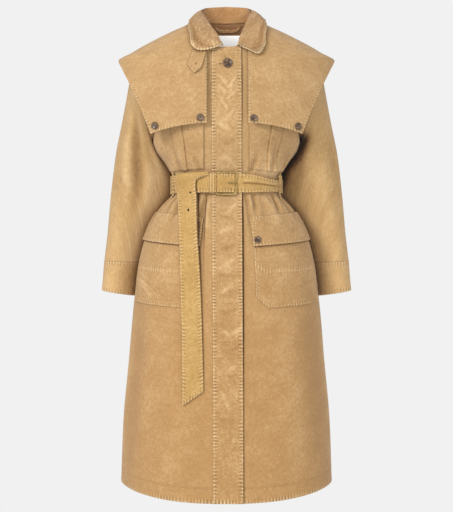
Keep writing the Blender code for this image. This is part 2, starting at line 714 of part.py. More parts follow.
def button(name, place, ahead, radius):
    """A round button with a raised rim, standing on a point and facing along ahead."""
    ahead = ahead / np.linalg.norm(ahead)
    side = np.cross(ahead, (0.0, 0.0, 1.0))
    side = side / np.linalg.norm(side)
    up = np.cross(side, ahead)
    profile = ((0.78, 0.0), (1.0, 0.35), (1.0, 0.75), (0.84, 1.0), (0.66, 0.72))
    turn = np.linspace(0, 2 * math.pi, BUTTON_SIDES, endpoint=False)
    points = []
    for r, h in profile:
        for t in turn:
            spoke = side * math.cos(t) + up * math.sin(t)
            points.append(place + spoke * radius * r + ahead * BUTTON_THICK * h)
    n = BUTTON_SIDES
    faces = [tuple(range(n - 1, -1, -1)), tuple(range(4 * n, 5 * n))]
    for k in range(4):
        for c in range(n):
            d = (c + 1) % n
            faces.append((k * n + c, k * n + d, (k + 1) * n + d, (k + 1) * n + c))
    add_mesh(name, points, faces, HORN, 0.35, 0.0)


def button_on(name, surface, x, height, off, radius):
    """A button on a surface that is a function of x, height and distance out."""
    place = surface(x, height, off)
    button(name, place, surface(x, height, off + 0.001) - place, radius)


def buttons():
    button_on("neck_button", front, 0.0026, -0.0746, 2 * CLOTH + LAY + 0.0012, NECK_BUTTON_RADIUS)
    on_cape = CLOTH + 0.0012
    button_on("cape_button_right_inner", cape, -0.0602, -0.2026, on_cape, SMALL_BUTTON_RADIUS)
    button_on("cape_button_right_outer", cape, -0.1650, -0.2190, on_cape, SMALL_BUTTON_RADIUS)
    button_on("cape_button_left_inner", cape, 0.0625, -0.2040, on_cape, SMALL_BUTTON_RADIUS)
    button_on("cape_button_left_outer", cape, 0.1650, -0.2210, on_cape, SMALL_BUTTON_RADIUS)
    on_flap = 3 * CLOTH + 2 * LAY + 0.0012
    button_on("hip_button_left", front, 0.0700, -0.4860, on_flap, SMALL_BUTTON_RADIUS)
    button_on("hip_button_right", front, -0.0760, -0.4860, on_flap, SMALL_BUTTON_RADIUS)


def inside_neck():
    """Hanger loop and bare label inside the back of the neck."""
    across = np.linspace(-0.028, 0.034, 7)[None, :]
    for name, rows, thick, colour in (("hanger_loop", (0.030, 0.0375), 0.0012, DENIM),
                                      ("neck_label", (-0.007, 0.0075, 0.022), 0.0006, WHITE)):
        height = np.array(rows)[:, None]
        wide, _ = smooth(BODY_RINGS, 1, height)
        angle = math.pi - np.sign(across) * np.arcsin(np.abs(across / wide) ** (ROUNDNESS / 2))
        low = -LAY - thick
        wall(name, skin(BODY_RINGS, angle, height, low + thick),
             skin(BODY_RINGS, angle, height, low), colour)


def clear_scene():
    for thing in list(bpy.data.objects):
        bpy.data.objects.remove(thing, do_unlink=True)


def build():
    clear_scene()
    for level, heights in (("skirt", skirt_heights()), ("bodice", bodice_heights())):
        front_panel(level + "_front_right", -1, FRONT_EDGE_RIGHT, heights)
        front_panel(level + "_front_left", 1, FRONT_EDGE_LEFT, heights)
        back_panel(level + "_back_right", -1, heights)
        back_panel(level + "_back_left", 1, heights)
    cape_front("cape_front_right", -1, CAPE_EDGE_RIGHT)
    cape_front("cape_front_left", 1, CAPE_EDGE_LEFT)
    cape_back()
    collar()
    placket()
    throat_tab()
    for side, hand in ((-1, "right"), (1, "left")):
        sleeve_half("sleeve_front_" + hand, side, 0.0)
        sleeve_half("sleeve_back_" + hand, side, math.pi)
        cuff("cuff_" + hand, side)
        chest_pocket("chest_pocket_" + hand, side)
        hip_pocket("hip_pocket_" + hand, side)
        hip_flap("hip_flap_" + hand, side)
        belt_loop("belt_loop_" + hand, side)
    belt_strap()
    belt_tail()
    buckle()
    keeper()
    buttons()
    inside_neck()


build()
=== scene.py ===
"""A belted denim trench coat with a shoulder cape: its cloth, trims and studio view.

Metres, +Z up, in the frame of the solids: the origin lies between the shoulders, the
front faces -Y and the wearer's right is at -X. The forms repeat the solids' tables on
finer grids, with folds, puckered seams and stitching laid over them.
"""
import math

import bpy
import numpy as np
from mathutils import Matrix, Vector


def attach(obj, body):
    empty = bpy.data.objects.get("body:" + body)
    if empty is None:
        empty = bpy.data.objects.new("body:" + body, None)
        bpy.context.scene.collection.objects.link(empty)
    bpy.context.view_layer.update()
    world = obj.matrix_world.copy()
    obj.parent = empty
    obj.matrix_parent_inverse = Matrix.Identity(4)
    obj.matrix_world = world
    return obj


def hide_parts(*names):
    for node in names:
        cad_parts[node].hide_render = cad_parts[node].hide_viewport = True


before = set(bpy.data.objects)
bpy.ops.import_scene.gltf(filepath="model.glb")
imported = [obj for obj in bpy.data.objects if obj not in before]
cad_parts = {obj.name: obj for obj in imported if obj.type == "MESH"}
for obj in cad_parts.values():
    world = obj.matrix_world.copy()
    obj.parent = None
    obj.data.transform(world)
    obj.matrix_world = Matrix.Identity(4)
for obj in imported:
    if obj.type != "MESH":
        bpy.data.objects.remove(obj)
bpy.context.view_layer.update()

# Thickness of cloth and strap, gap at a seam, gap between layers, usual and fine spacing of rows
CLOTH = 0.0016
STRAP = 0.0022
SEAM = 0.0004
LAY = 0.0010
GRID = 0.0048
FINE = 0.0024

# Heights of the hem and where its rise at the sides ends, of underarm, shoulder tip and neck, where
# the neck's dip in front starts, and of the belt's middle, with that rise, that dip and the belt's width
HEM = -1.080
HEM_RISE = 0.022
HEM_RISE_TOP = -0.800
UNDERARM = -0.245
SHOULDER_TIP = -0.031
NECK_TOP = 0.048
NECK_DIP = 0.082
DIP_START = -0.130
BELT_MID = -0.352
BELT_WIDTH = 0.042

# Rings of the body form: height, half width, depth to the front, depth to the back
BODY_RINGS = (
    (-1.080, 0.2515, 0.198, 0.197),
    (-0.890, 0.2412, 0.185, 0.184),
    (-0.760, 0.2290, 0.174, 0.172),
    (-0.615, 0.2185, 0.161, 0.158),
    (-0.535, 0.2090, 0.151, 0.144),
    (-0.485, 0.1960, 0.143, 0.134),
    (-0.440, 0.1790, 0.132, 0.120),
    (-0.405, 0.1560, 0.119, 0.105),
    (-0.375, 0.1295, 0.104, 0.088),
    (-0.352, 0.1260, 0.103, 0.086),
    (-0.329, 0.1280, 0.104, 0.088),
    (-0.290, 0.1510, 0.116, 0.101),
    (-0.245, 0.1720, 0.124, 0.111),
    (-0.200, 0.1760, 0.125, 0.112),
    (-0.120, 0.1870, 0.117, 0.106),
    (-0.060, 0.2010, 0.104, 0.094),
    (-0.031, 0.2060, 0.096, 0.087),
    (-0.015, 0.1760, 0.090, 0.081),
    (0.006, 0.1340, 0.081, 0.073),
    (0.024, 0.0980, 0.072, 0.067),
    (0.036, 0.0820, 0.066, 0.063),
    (0.048, 0.0720, 0.060, 0.060),
)

# Tip of the cape at the shoulder, and rings of the cape form in the same columns
CAPE_TIP = -0.052
CAPE_RINGS = (
    (-0.260, 0.2560, 0.141, 0.128),
    (-0.200, 0.2580, 0.139, 0.126),
    (-0.120, 0.2600, 0.130, 0.119),
    (-0.080, 0.2600, 0.121, 0.111),
    (-0.062, 0.2600, 0.115, 0.106),
    (-0.052, 0.2590, 0.112, 0.103),
    (-0.0386, 0.2335, 0.106, 0.098),
    (-0.0226, 0.2065, 0.101, 0.092),
    (-0.0077, 0.1785, 0.095, 0.086),
    (0.0131, 0.1365, 0.086, 0.078),
    (0.0310, 0.0970, 0.077, 0.072),
    (0.0400, 0.0840, 0.072, 0.069),
    (0.0480, 0.0780, 0.067, 0.065),
)
# Distance of the cape's front edges from the middle, and heights of its upper and lower edges
CAPE_EDGE_RIGHT = 0.046
CAPE_EDGE_LEFT = 0.051
CAPE_TOP_FRONT = -0.026
CAPE_TOP_SIDE = 0.0405
CAPE_BOTTOM_FRONT = -0.214
CAPE_BOTTOM_SIDE = -0.2367
CAPE_BOTTOM_BACK = -0.258
# Outer edge of the cape flaps: height, distance from the middle
CAPE_OUTER = (
    (-0.260, 0.1680),
    (-0.2367, 0.1762),
    (-0.2176, 0.1834),
    (-0.1157, 0.2280),
    (-0.0772, 0.2470),
    (-0.0580, 0.2565),
    (-0.0520, 0.2588),
)

# Belt ring, upright all round
BELT_RINGS = (
    (-0.400, 0.1335, 0.1125, 0.0945),
    (-0.300, 0.1335, 0.1125, 0.0945),
)

# Sleeve rings: outer x, outer z, inner x, inner z, middle y, half depth, set-back of the inner side
SLEEVE_RINGS = (
    (0.2165, -0.0425, 0.1765, -0.2440, 0.000, 0.0760, 0.000),
    (0.2280, -0.0680, 0.1780, -0.2470, 0.003, 0.0765, 0.000),
    (0.2365, -0.1150, 0.1735, -0.2580, 0.005, 0.0745, 0.009),
    (0.2510, -0.1900, 0.1560, -0.2800, 0.010, 0.0680, 0.028),
    (0.2680, -0.2700, 0.1330, -0.3120, 0.022, 0.0660, 0.034),
    (0.2780, -0.3400, 0.1270, -0.3500, 0.030, 0.0650, 0.036),
    (0.2830, -0.3850, 0.1410, -0.3920, 0.032, 0.0640, 0.036),
    (0.2865, -0.4250, 0.1670, -0.4300, 0.033, 0.0640, 0.036),
    (0.2905, -0.4700, 0.1880, -0.4750, 0.034, 0.0640, 0.034),
    (0.2980, -0.5330, 0.2065, -0.5380, 0.034, 0.0630, 0.032),
)
CUFF_RINGS = (
    (0.2985, -0.5345, 0.2060, -0.5395, 0.034, 0.0640, 0.032),
    (0.3010, -0.5700, 0.2140, -0.5790, 0.034, 0.0635, 0.032),
    (0.3040, -0.6040, 0.2205, -0.6180, 0.034, 0.0630, 0.032),
)
# How far the armholes reach in from the side, in radians
ARMHOLE_FRONT = 0.62
ARMHOLE_BACK = 0.60

# Collar stations from the front end (0) to the middle of the back (1):
# station, roll line x, y, z, angle and height of the outer edge on the cape form
COLLAR_STATIONS = (
    (0.00, 0.0085, -0.0955, -0.0290, 2.0, -0.0330),
    (0.06, 0.0130, -0.0930, -0.0200, 6.8, -0.0430),
    (0.14, 0.0220, -0.0810, -0.0010, 11.8, -0.0455),
    (0.26, 0.0360, -0.0590, 0.0220, 17.6, -0.0330),
    (0.42, 0.0500, -0.0300, 0.0480, 29.0, 0.0010),
    (0.60, 0.0580, 0.0040, 0.0680, 60.0, 0.0320),
    (0.80, 0.0450, 0.0420, 0.0840, 120.0, 0.0425),
    (1.00, 0.0000, 0.0580, 0.0905, 180.0, 0.0340),
)

# Shift of the left half of the collar, which lies lower and further out, in the same columns
COLLAR_SHIFT_LEFT = (
    (0.00, 0.0160, 0.0, -0.0030, 4.0, -0.0040),
    (0.06, 0.0140, 0.0, -0.0040, 3.5, -0.0060),
    (0.14, 0.0100, 0.0, -0.0040, 1.6, -0.0085),
    (0.26, 0.0060, 0.0, -0.0020, 2.1, -0.0015),
    (0.42, 0.0020, 0.0, 0.0, 1.5, -0.0010),
    (0.60, 0.0, 0.0, 0.0, 0.0, -0.0020),
    (0.80, 0.0, 0.0, 0.0, 0.0, -0.0025),
    (1.00, 0.0, 0.0, 0.0, 0.0, 0.0),
)

# Placket: height of its top, and x of its right and left edges at the chest and at the hem
PLACKET_TOP = -0.034
PLACKET_RIGHT_CHEST = -0.0335
PLACKET_RIGHT_HEM = -0.0290
PLACKET_LEFT_CHEST = 0.0340
PLACKET_LEFT_HEM = 0.0370

# Belt tail: height, right edge x, left edge x, distance out from the body
TAIL_ROWS = (
    (-0.864, -0.0985, -0.0525, 0.0045),
    (-0.829, -0.0985, -0.0525, 0.0045),
    (-0.760, -0.0990, -0.0540, 0.0045),
    (-0.680, -0.1000, -0.0560, 0.0055),
    (-0.600, -0.1020, -0.0590, 0.0075),
    (-0.520, -0.1030, -0.0630, 0.0110),
    (-0.470, -0.1040, -0.0660, 0.0125),
    (-0.430, -0.1050, -0.0670, 0.0130),
    (-0.390, -0.1060, -0.0660, 0.0165),
    (-0.365, -0.1066, -0.0660, 0.0178),
    (-0.352, -0.1070, -0.0655, 0.0187),
    (-0.343, -0.1070, -0.0625, 0.0200),
    (-0.337, -0.1068, -0.0540, 0.0203),
    (-0.3325, -0.1066, -0.0420, 0.0200),
    (-0.322, -0.1065, -0.0405, 0.0155),
)
# How much lower the outer corner of its end lies
TAIL_POINT_DROP = 0.033

# Buckle and buttons
BUCKLE_MID = (-0.001, -0.1152, -0.3525)
BUCKLE_HALF_WIDTH = 0.0255
BUCKLE_HALF_HEIGHT = 0.0275
BUCKLE_BAR = 0.0042
BUCKLE_THICK = 0.0025
NECK_BUTTON_RADIUS = 0.0112
SMALL_BUTTON_RADIUS = 0.0086
BUTTON_THICK = 0.0034

# Folds of the body: degrees round from the front and height where each
# starts and ends, half width in degrees, and depth, which is negative for a trough
BODY_FOLDS = (
    (-17.6, -0.372, -13.4, -0.530, 2.0, -0.0075),
    (16.8, -0.372, 13.6, -0.470, 1.7, -0.0055),
    (26.0, -0.372, 17.5, -0.440, 2.2, -0.0055),
    (53.0, -0.372, 44.0, -0.425, 2.4, -0.0060),
    (38.0, -0.376, 37.0, -0.470, 4.5, 0.0035),
    (68.0, -0.374, 62.0, -0.450, 3.5, -0.0030),
    (-30.0, -0.374, -27.0, -0.440, 2.2, -0.0045),
    (-44.0, -0.374, -40.0, -0.470, 3.2, -0.0050),
    (-58.0, -0.374, -55.0, -0.430, 2.4, -0.0050),
    (-76.0, -0.374, -70.0, -0.470, 3.5, -0.0040),
    (104.0, -0.374, 108.0, -0.480, 3.6, -0.0055),
    (121.0, -0.374, 119.0, -0.430, 2.6, -0.0045),
    (139.0, -0.374, 143.0, -0.520, 3.4, -0.0060),
    (158.0, -0.374, 157.0, -0.440, 2.8, -0.0050),
    (176.0, -0.374, 172.0, -0.490, 3.2, -0.0055),
    (197.0, -0.374, 199.0, -0.450, 2.6, -0.0050),
    (215.0, -0.374, 212.0, -0.520, 3.6, -0.0060),
    (236.0, -0.374, 240.0, -0.440, 2.8, -0.0045),
    (255.0, -0.374, 252.0, -0.490, 3.4, -0.0055),
    (-50.0, -0.330, -46.0, -0.260, 3.0, -0.0040),
    (-24.0, -0.330, -27.0, -0.275, 2.4, -0.0035),
    (22.0, -0.330, 25.0, -0.270, 2.4, -0.0035),
    (47.0, -0.330, 41.0, -0.250, 3.0, -0.0045),
    (70.0, -0.330, 66.0, -0.270, 3.0, -0.0040),
    (118.0, -0.330, 122.0, -0.260, 3.4, -0.0045),
    (146.0, -0.330, 142.0, -0.250, 3.6, -0.0045),
    (171.0, -0.330, 174.0, -0.270, 3.0, -0.0040),
    (203.0, -0.330, 199.0, -0.250, 3.6, -0.0045),
    (231.0, -0.330, 236.0, -0.265, 3.4, -0.0045),
    (90.0, -0.236, 90.0, -0.300, 26.0, 0.0055),
    (-90.0, -0.236, -90.0, -0.300, 26.0, 0.0055),
    (32.0, -0.640, 34.0, -1.140, 9.0, 0.0012),
    (58.0, -0.560, 61.0, -1.160, 9.0, -0.0018),
    (-29.0, -0.880, -31.0, -1.150, 8.0, 0.0012),
    (-60.0, -0.600, -64.0, -1.150, 8.0, -0.0018),
    (-82.0, -0.640, -84.0, -1.160, 8.0, 0.0030),
    (83.0, -0.620, 86.0, -1.150, 8.0, 0.0030),
    (112.0, -0.540, 116.0, -1.160, 9.0, -0.0060),
    (146.0, -0.500, 150.0, -1.160, 9.0, 0.0060),
    (178.0, -0.480, 176.0, -1.170, 10.0, -0.0065),
    (212.0, -0.520, 208.0, -1.160, 9.0, 0.0060),
    (247.0, -0.540, 243.0, -1.160, 9.0, -0.0060),
)
# The cloth that blouses over the belt's upper edge: degrees, half width in degrees, reach
BLOUSE = ((48.0, 16.0, 0.0085), (-66.0, 12.0, 0.0035), (128.0, 20.0, 0.0040), (225.0, 24.0, 0.0040))
BLOUSE_HEIGHT = -0.318
BLOUSE_SPREAD = 0.016

# Folds of a sleeve: degrees round from the outer side over the front and share of the
# length where each starts and ends, half width in degrees, depth
SLEEVE_FOLDS_RIGHT = (
    (74.0, 0.20, 92.0, 0.80, 10.0, -0.0068),
    (52.0, 0.30, 60.0, 0.70, 11.0, 0.0030),
    (118.0, 0.25, 128.0, 0.55, 10.0, 0.0030),
    (38.0, 0.52, 70.0, 0.62, 7.0, -0.0025),
    (205.0, 0.30, 225.0, 0.62, 13.0, -0.0055),
    (262.0, 0.40, 250.0, 0.72, 13.0, -0.0050),
    (302.0, 0.44, 318.0, 0.66, 12.0, -0.0045),
)
SLEEVE_FOLDS_LEFT = (
    (112.0, 0.18, 120.0, 0.70, 13.0, -0.0040),
    (66.0, 0.40, 74.0, 0.86, 15.0, 0.0025),
    (40.0, 0.36, 30.0, 0.60, 11.0, -0.0020),
    (210.0, 0.32, 230.0, 0.60, 13.0, -0.0055),
    (258.0, 0.38, 246.0, 0.70, 13.0, -0.0050),
    (306.0, 0.46, 316.0, 0.70, 12.0, -0.0045),
)

# Folds: share of its depth that a fold's banks have, how many half widths away they lie, and the
# shares of its length over which it starts and ends
BANK_SHARE = 0.42
BANK_AWAY = 1.9
FOLD_START = (-0.06, 0.22)
FOLD_END = (0.45, 1.0)

# Powers of the ring forms' round outline and of the armholes' curve
ROUNDNESS = 2.3
ARMHOLE_CURVE = 0.7

RIGHT_ANGLE = math.pi / 2
FULL_TURN = 2 * math.pi
TINY = 1e-9


def circle(count):
    """Angles of points spaced evenly round a full turn."""
    return np.linspace(0, FULL_TURN, count, endpoint=False)


def spaced(low, high, step):
    """Values from low to high, about a step apart."""
    return np.linspace(low, high, max(2, int(round(abs(high - low) / step)) + 1))


def ease(low, high, t):
    """0 below low, 1 above high, smooth between."""
    u = np.clip((t - low) / (high - low), 0, 1)
    return u * u * (3 - 2 * u)


def fade_in_out(start, end, t):
    """Rises from 0 to 1 over the pair start and falls back to 0 over the pair end."""
    return ease(*start, t) * (1 - ease(*end, t))


def bell(t):
    """1 at 0, falling smoothly to almost nothing at 2 and at -2."""
    return np.exp(-t * t)


def unit(vectors):
    """Vectors scaled to a length of 1."""
    return vectors / np.linalg.norm(vectors, axis=-1, keepdims=True)


def rounded(t, power):
    """A value raised to a power, with its sign kept."""
    return np.sign(t) * np.abs(t) ** power


def cubic(first, last, first_slope, last_slope, step, u):
    """A cubic piece from first to last, with their slopes, at share u of its step."""
    return (
        first * (1 + 2 * u) * (1 - u) ** 2
        + last * u * u * (3 - 2 * u)
        + step * (first_slope * u * (1 - u) ** 2 - last_slope * u * u * (1 - u))
    )


def smooth(rows, column, t):
    """A table's column at t, with its slope, by cubic pieces through the rows."""
    table = np.array(rows, dtype=float)
    xs = table[:, 0]
    ys = table[:, column]
    slopes = np.gradient(ys, xs)
    t = np.clip(np.asarray(t, dtype=float), xs[0], xs[-1])
    i = np.clip(np.searchsorted(xs, t) - 1, 0, len(xs) - 2)
    step = xs[i + 1] - xs[i]
    u = (t - xs[i]) / step
    value = cubic(ys[i], ys[i + 1], slopes[i], slopes[i + 1], step, u)
    slope = (
        6 * u * (1 - u) * (ys[i + 1] - ys[i]) / step
        + slopes[i] * (1 - u) * (1 - 3 * u)
        + slopes[i + 1] * u * (3 * u - 2)
    )
    return value, slope


def skin(rings, angle, height, off):
    """Point of a ring form, moved out by off. Angle 0 is the front, +90 degrees is +X."""
    angle, height, off = np.broadcast_arrays(angle, height, off)
    wide, wide_slope = smooth(rings, 1, height)
    front_deep, front_slope = smooth(rings, 2, height)
    back_deep, back_slope = smooth(rings, 3, height)
    s = np.sin(angle)
    c = np.cos(angle)
    deep = np.where(c > 0, front_deep, back_deep)
    deep_slope = np.where(c > 0, front_slope, back_slope)
    power = 2 / ROUNDNESS
    x = wide * rounded(s, power)
    y = -deep * rounded(c, power)
    normal_x = rounded(s, 2 - power) / wide
    normal_y = -rounded(c, 2 - power) / deep
    normal_z = -(s * s * wide_slope / wide + c * c * deep_slope / deep)
    normal = unit(np.stack((normal_x, normal_y, normal_z), axis=-1))
    return np.stack((x, y, height), axis=-1) + normal * off[..., None]


def wall(rings, angle, height, low, thick):
    """Outer and inner face of cloth that lies low out from a ring form."""
    return skin(rings, angle, height, low + thick), skin(rings, angle, height, low)


def angle_at(rings, x, height):
    """Angle on the front half where the form is x from the middle."""
    wide, _ = smooth(rings, 1, height)
    share = np.clip(np.abs(x) / wide, 0, 1) ** (ROUNDNESS / 2)
    return np.sign(x) * np.arcsin(share)


def half_turn(degrees):
    """Degrees brought to between -180 and 180."""
    return (degrees + 180) % 360 - 180


def folds(table, degrees, along):
    """Soft troughs and ridges of a table, each fading in and out along its length."""
    total = np.zeros(np.broadcast(degrees, along).shape)
    for first, start, last, end, half, depth in table:
        t = (along - start) / (end - start)
        d = np.abs(half_turn(degrees - first - (last - first) * t)) / half
        total += depth * fade_in_out(FOLD_START, FOLD_END, t) * (bell(d) - BANK_SHARE * bell(d - BANK_AWAY))
    return total


def relief(angle, height):
    """How far the body's cloth folds in or out."""
    degrees = np.degrees(angle)
    total = folds(BODY_FOLDS, degrees, height)
    rise = bell((height - BLOUSE_HEIGHT) / BLOUSE_SPREAD)
    for middle, half, reach in BLOUSE:
        total = total + reach * rise * bell(half_turn(degrees - middle) / half)
    return total


def body(angle, height, off):
    """Point on the folded body form."""
    return skin(BODY_RINGS, angle, height, off + relief(angle, height))


def front(x, height, off):
    """Point on the front of the body, by its distance from the middle."""
    return body(angle_at(BODY_RINGS, x, height), height, off)


def cape(x, height, off):
    """Point on the front of the cape form, by its distance from the middle."""
    return skin(CAPE_RINGS, angle_at(CAPE_RINGS, x, height), height, off)


def grid_normals(grid, wrap):
    """Unit normals of a grid of points, from its neighbours."""
    along = np.gradient(grid, axis=0)
    if wrap:
        across = np.roll(grid, -1, axis=1) - np.roll(grid, 1, axis=1)
    else:
        across = np.gradient(grid, axis=1)
    return unit(np.cross(across, along))


def armhole(height, size):
    """Angle by which the armhole's edge lies in from the side."""
    share = np.clip((height - UNDERARM) / (SHOULDER_TIP - UNDERARM), 0, 1)
    return size * np.sin(math.pi * share) ** ARMHOLE_CURVE


# Puckered seams: pitch of the small ridges across a washed seam, and the distances from it at which
# they are full, start to fade and end
LADDER_PITCH = 0.0078
LADDER_NEAR = 0.0015
LADDER_FAR = 0.0115
LADDER_FADE = LADDER_FAR * 0.45
# Waves that make the ridges uneven, as size, frequency and start: two shift them, one swells them
LADDER_WAVES = ((1.1, 41.0, 0.0), (0.8, 97.0, 1.7), (0.3, 61.0, 0.6))
LADDER_SIZE = 0.7

# Marks for the material: distance where there is no seam, relief that is fully shaded, shade of a gap
FAR_AWAY = 1.0
FOLD_SHADE = 0.006
GAP_SHADE = 4.0
# How far a cloth's rim rounds out, as a share of its thickness
RIM_SWELL = 0.35

made_cloth = []
strips = {}
seams = []


def lengths(grid, axis):
    """Distance along a grid's rows (axis 1) or columns (axis 0) from its first edge."""
    steps = np.linalg.norm(np.diff(grid, axis=axis), axis=-1)
    start = np.zeros_like(np.take(steps, [0], axis=axis))
    return np.concatenate((start, np.cumsum(steps, axis=axis)), axis=axis)


def nearest_seam(u, v, edges, lines):
    """Distances from the nearest sewn side and from the nearest sewn end or row."""
    sides, ends = [np.full_like(u, FAR_AWAY)], [np.full_like(u, FAR_AWAY)]
    for edge in edges:
        if edge == "left":
            sides.append(u)
        elif edge == "right":
            sides.append(u[:, -1:] - u)
        elif edge == "bottom":
            ends.append(v)
        else:
            ends.append(v[-1:] - v)
    for row in lines:
        ends.append(np.abs(v - v[row:row + 1]))
    return np.min(sides, axis=0), np.min(ends, axis=0)


def ladder(away, along):
    """Uneven ridges across a seam, from -1 to 1."""
    slow, quick, swell = (size * np.sin(often * along + start) for size, often, start in LADDER_WAVES)
    wave = np.sin(FULL_TURN * along / LADDER_PITCH + slow + quick)
    return wave * (LADDER_SIZE + swell) * fade_in_out((0, LADDER_NEAR), (LADDER_FADE, LADDER_FAR), away)


def mesh_object(name, points, faces, finish):
    """A smooth-shaded object from an array of points and arrays of faces of one size each."""
    mesh = bpy.data.meshes.new(name)
    mesh.vertices.add(len(points))
    mesh.vertices.foreach_set("co", np.asarray(points, dtype=np.float32).ravel())
    corners = np.concatenate([f.ravel() for f in faces]).astype(np.int32)
    counts = np.concatenate([np.full(len(f), f.shape[1], dtype=np.int32) for f in faces])
    starts = np.concatenate(([0], np.cumsum(counts)[:-1])).astype(np.int32)
    mesh.loops.add(len(corners))
    mesh.loops.foreach_set("vertex_index", corners)
    mesh.polygons.add(len(counts))
    mesh.polygons.foreach_set("loop_start", starts)
    mesh.polygons.foreach_set("use_smooth", np.ones(len(counts), dtype=bool))
    mesh.update(calc_edges=True)
    mesh.validate()
    thing = bpy.data.objects.new(name, mesh)
    bpy.context.scene.collection.objects.link(thing)
    mesh.materials.append(finish)
    return thing


def rim_loops(rows, columns, wrap):
    """Loops of row and column numbers round a grid's open edges."""
    if wrap:
        ring = np.arange(columns)
        return [(np.zeros(columns, int), ring), (np.full(columns, rows - 1), ring[::-1])]
    up, over = np.arange(rows), np.arange(columns)
    r = np.concatenate((np.zeros(columns - 1, int), up[:-1], np.full(columns - 1, rows - 1), up[:0:-1]))
    c = np.concatenate((over[:-1], np.full(rows - 1, columns - 1), over[:0:-1], np.zeros(rows - 1, int)))
    return [(r, c)]


def shell(outer, inner, wrap):
    """Points and faces of a closed cloth wall with rounded rims, and each point's grid place."""
    rows, columns = outer.shape[:2]
    count = rows * columns
    place = np.arange(count).reshape(rows, columns)
    right = np.roll(place, -1, axis=1) if wrap else place[:, 1:]
    left = place if wrap else place[:, :-1]
    quads = np.stack((left[:-1], right[:-1], right[1:], left[1:]), axis=-1).reshape(-1, 4)
    flat = outer.reshape(-1, 3)
    a, b, d = flat[quads[:, 0]], flat[quads[:, 1]], flat[quads[:, 3]]
    facing = np.sum(np.cross(b - a, d - a) * (outer - inner).reshape(-1, 3)[quads[:, 0]], axis=1)
    turned = np.median(facing) < 0
    if turned:
        quads = quads[:, ::-1]
    points = [flat, inner.reshape(-1, 3)]
    origin = [place.ravel(), place.ravel()]
    faces = [quads, quads[:, ::-1] + count]
    base = 2 * count
    for r, c in rim_loops(rows, columns, wrap):
        near_r = np.clip(r, 1, rows - 2)
        near_c = c if wrap else np.clip(c, 1, columns - 2)
        away = outer[r, c] - outer[near_r, near_c]
        away = away / np.maximum(np.linalg.norm(away, axis=1, keepdims=True), TINY)
        thick = np.linalg.norm(outer[r, c] - inner[r, c], axis=1, keepdims=True)
        points.append((outer[r, c] + inner[r, c]) / 2 + away * thick * RIM_SWELL)
        edge = place[r, c]
        origin.append(edge)
        here = np.arange(len(r))
        after = np.roll(here, -1)
        for first, second in ((edge, base + here), (base + here, edge + count)):
            strip = np.stack((first[here], second[here], second[after], first[after]), axis=-1)
            faces.append(strip[:, ::-1] if turned else strip)
        base += len(r)
    return np.concatenate(points), faces, np.concatenate(origin)


def cloth(name, outer, inner, finish, slot="denim", stands=(), edges=(), lines=(), wrap=False,
          pucker=0.0, fold=0.0, gap=0.0, level="bottom", lining=None, held="hung", rests_on=(), sewn=(),
          strip_of=None):
    """A piece of cloth that stands for some nodes: its shell, weave places and seam marks.

    Edges and lines are the sides and rows with puckered seams. Fold is the relief that shades it,
    gap the share of shadow in a gap, and level the end from which lengths are marked. Lining is
    the finish of its inner face. A strip too narrow to count as a sheet goes with the sheet that
    strip_of names.
    """
    u, v = lengths(outer, 1), lengths(outer, 0)
    sides, ends = nearest_seam(u, v, edges, lines)
    marked = v if level == "bottom" else v - v[-1:]
    ridge = (ladder(sides, marked) + ladder(ends, u)) * pucker
    out = unit(outer - inner)
    outer = outer + out * ridge[..., None]
    inner = inner + out * ridge[..., None]
    points, faces, origin = shell(outer, inner, wrap)
    piece = mesh_object(name + "_cloth", points, faces, finish)
    slice_number = float(len(made_cloth))
    shade = np.clip(fold / FOLD_SHADE, -1, 1) - GAP_SHADE * gap
    marks = np.stack((sides, ends, shade + 0 * u), axis=-1).reshape(-1, 3)[origin]
    flat = np.stack((u, marked, slice_number + 0 * u), axis=-1).reshape(-1, 3)[origin]
    if lining:
        piece.data.materials.append(lining)
        inside = np.zeros(len(piece.data.polygons), dtype=np.int32)
        inside[len(faces[0]):2 * len(faces[0])] = 1
        piece.data.polygons.foreach_set("material_index", inside)
    for label, values in (("lay", flat), ("mark", marks)):
        layer = piece.data.attributes.new(label, "FLOAT_VECTOR", "POINT")
        layer.data.foreach_set("vector", values.astype(np.float32).ravel())
    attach(piece, "root")
    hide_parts(*(stands or (name,)))
    made_cloth.append(piece)
    for side, inset in sewn:
        seams.append((name, stitch_line(outer, out, u, v, side, inset)))
    if strip_of:
        strips.setdefault(strip_of, []).append(piece)
        return


def stitch_line(outer, out, u, v, side, inset):
    """Points and normals along a line that lies inset from one side of a grid, or on a row or column."""
    rows, columns = u.shape
    r, c = np.arange(rows, dtype=float), np.arange(columns, dtype=float)
    if side in ("left", "right"):
        target = np.broadcast_to(inset if side == "left" else u[:, -1] - inset, rows)
        c = np.array([np.interp(t, u[k], c) for k, t in enumerate(target)])
    elif side in ("bottom", "top"):
        target = np.broadcast_to(inset if side == "bottom" else v[-1] - inset, columns)
        r = np.array([np.interp(t, v[:, k], r) for k, t in enumerate(target)])
    elif side == "row":
        r = np.full(columns, float(inset))
    else:
        c = np.full(rows, float(inset))
    return between(outer, r, c), between(out, r, c)


def between(grid, r, c):
    """Values of a grid at fractional rows and columns."""
    r0 = np.clip(np.floor(r).astype(int), 0, grid.shape[0] - 2)
    c0 = np.clip(np.floor(c).astype(int), 0, grid.shape[1] - 2)
    s, t = (r - r0)[:, None], (c - c0)[:, None]
    low = grid[r0, c0] * (1 - t) + grid[r0, c0 + 1] * t
    high = grid[r0 + 1, c0] * (1 - t) + grid[r0 + 1, c0 + 1] * t
    return low * (1 - s) + high * s


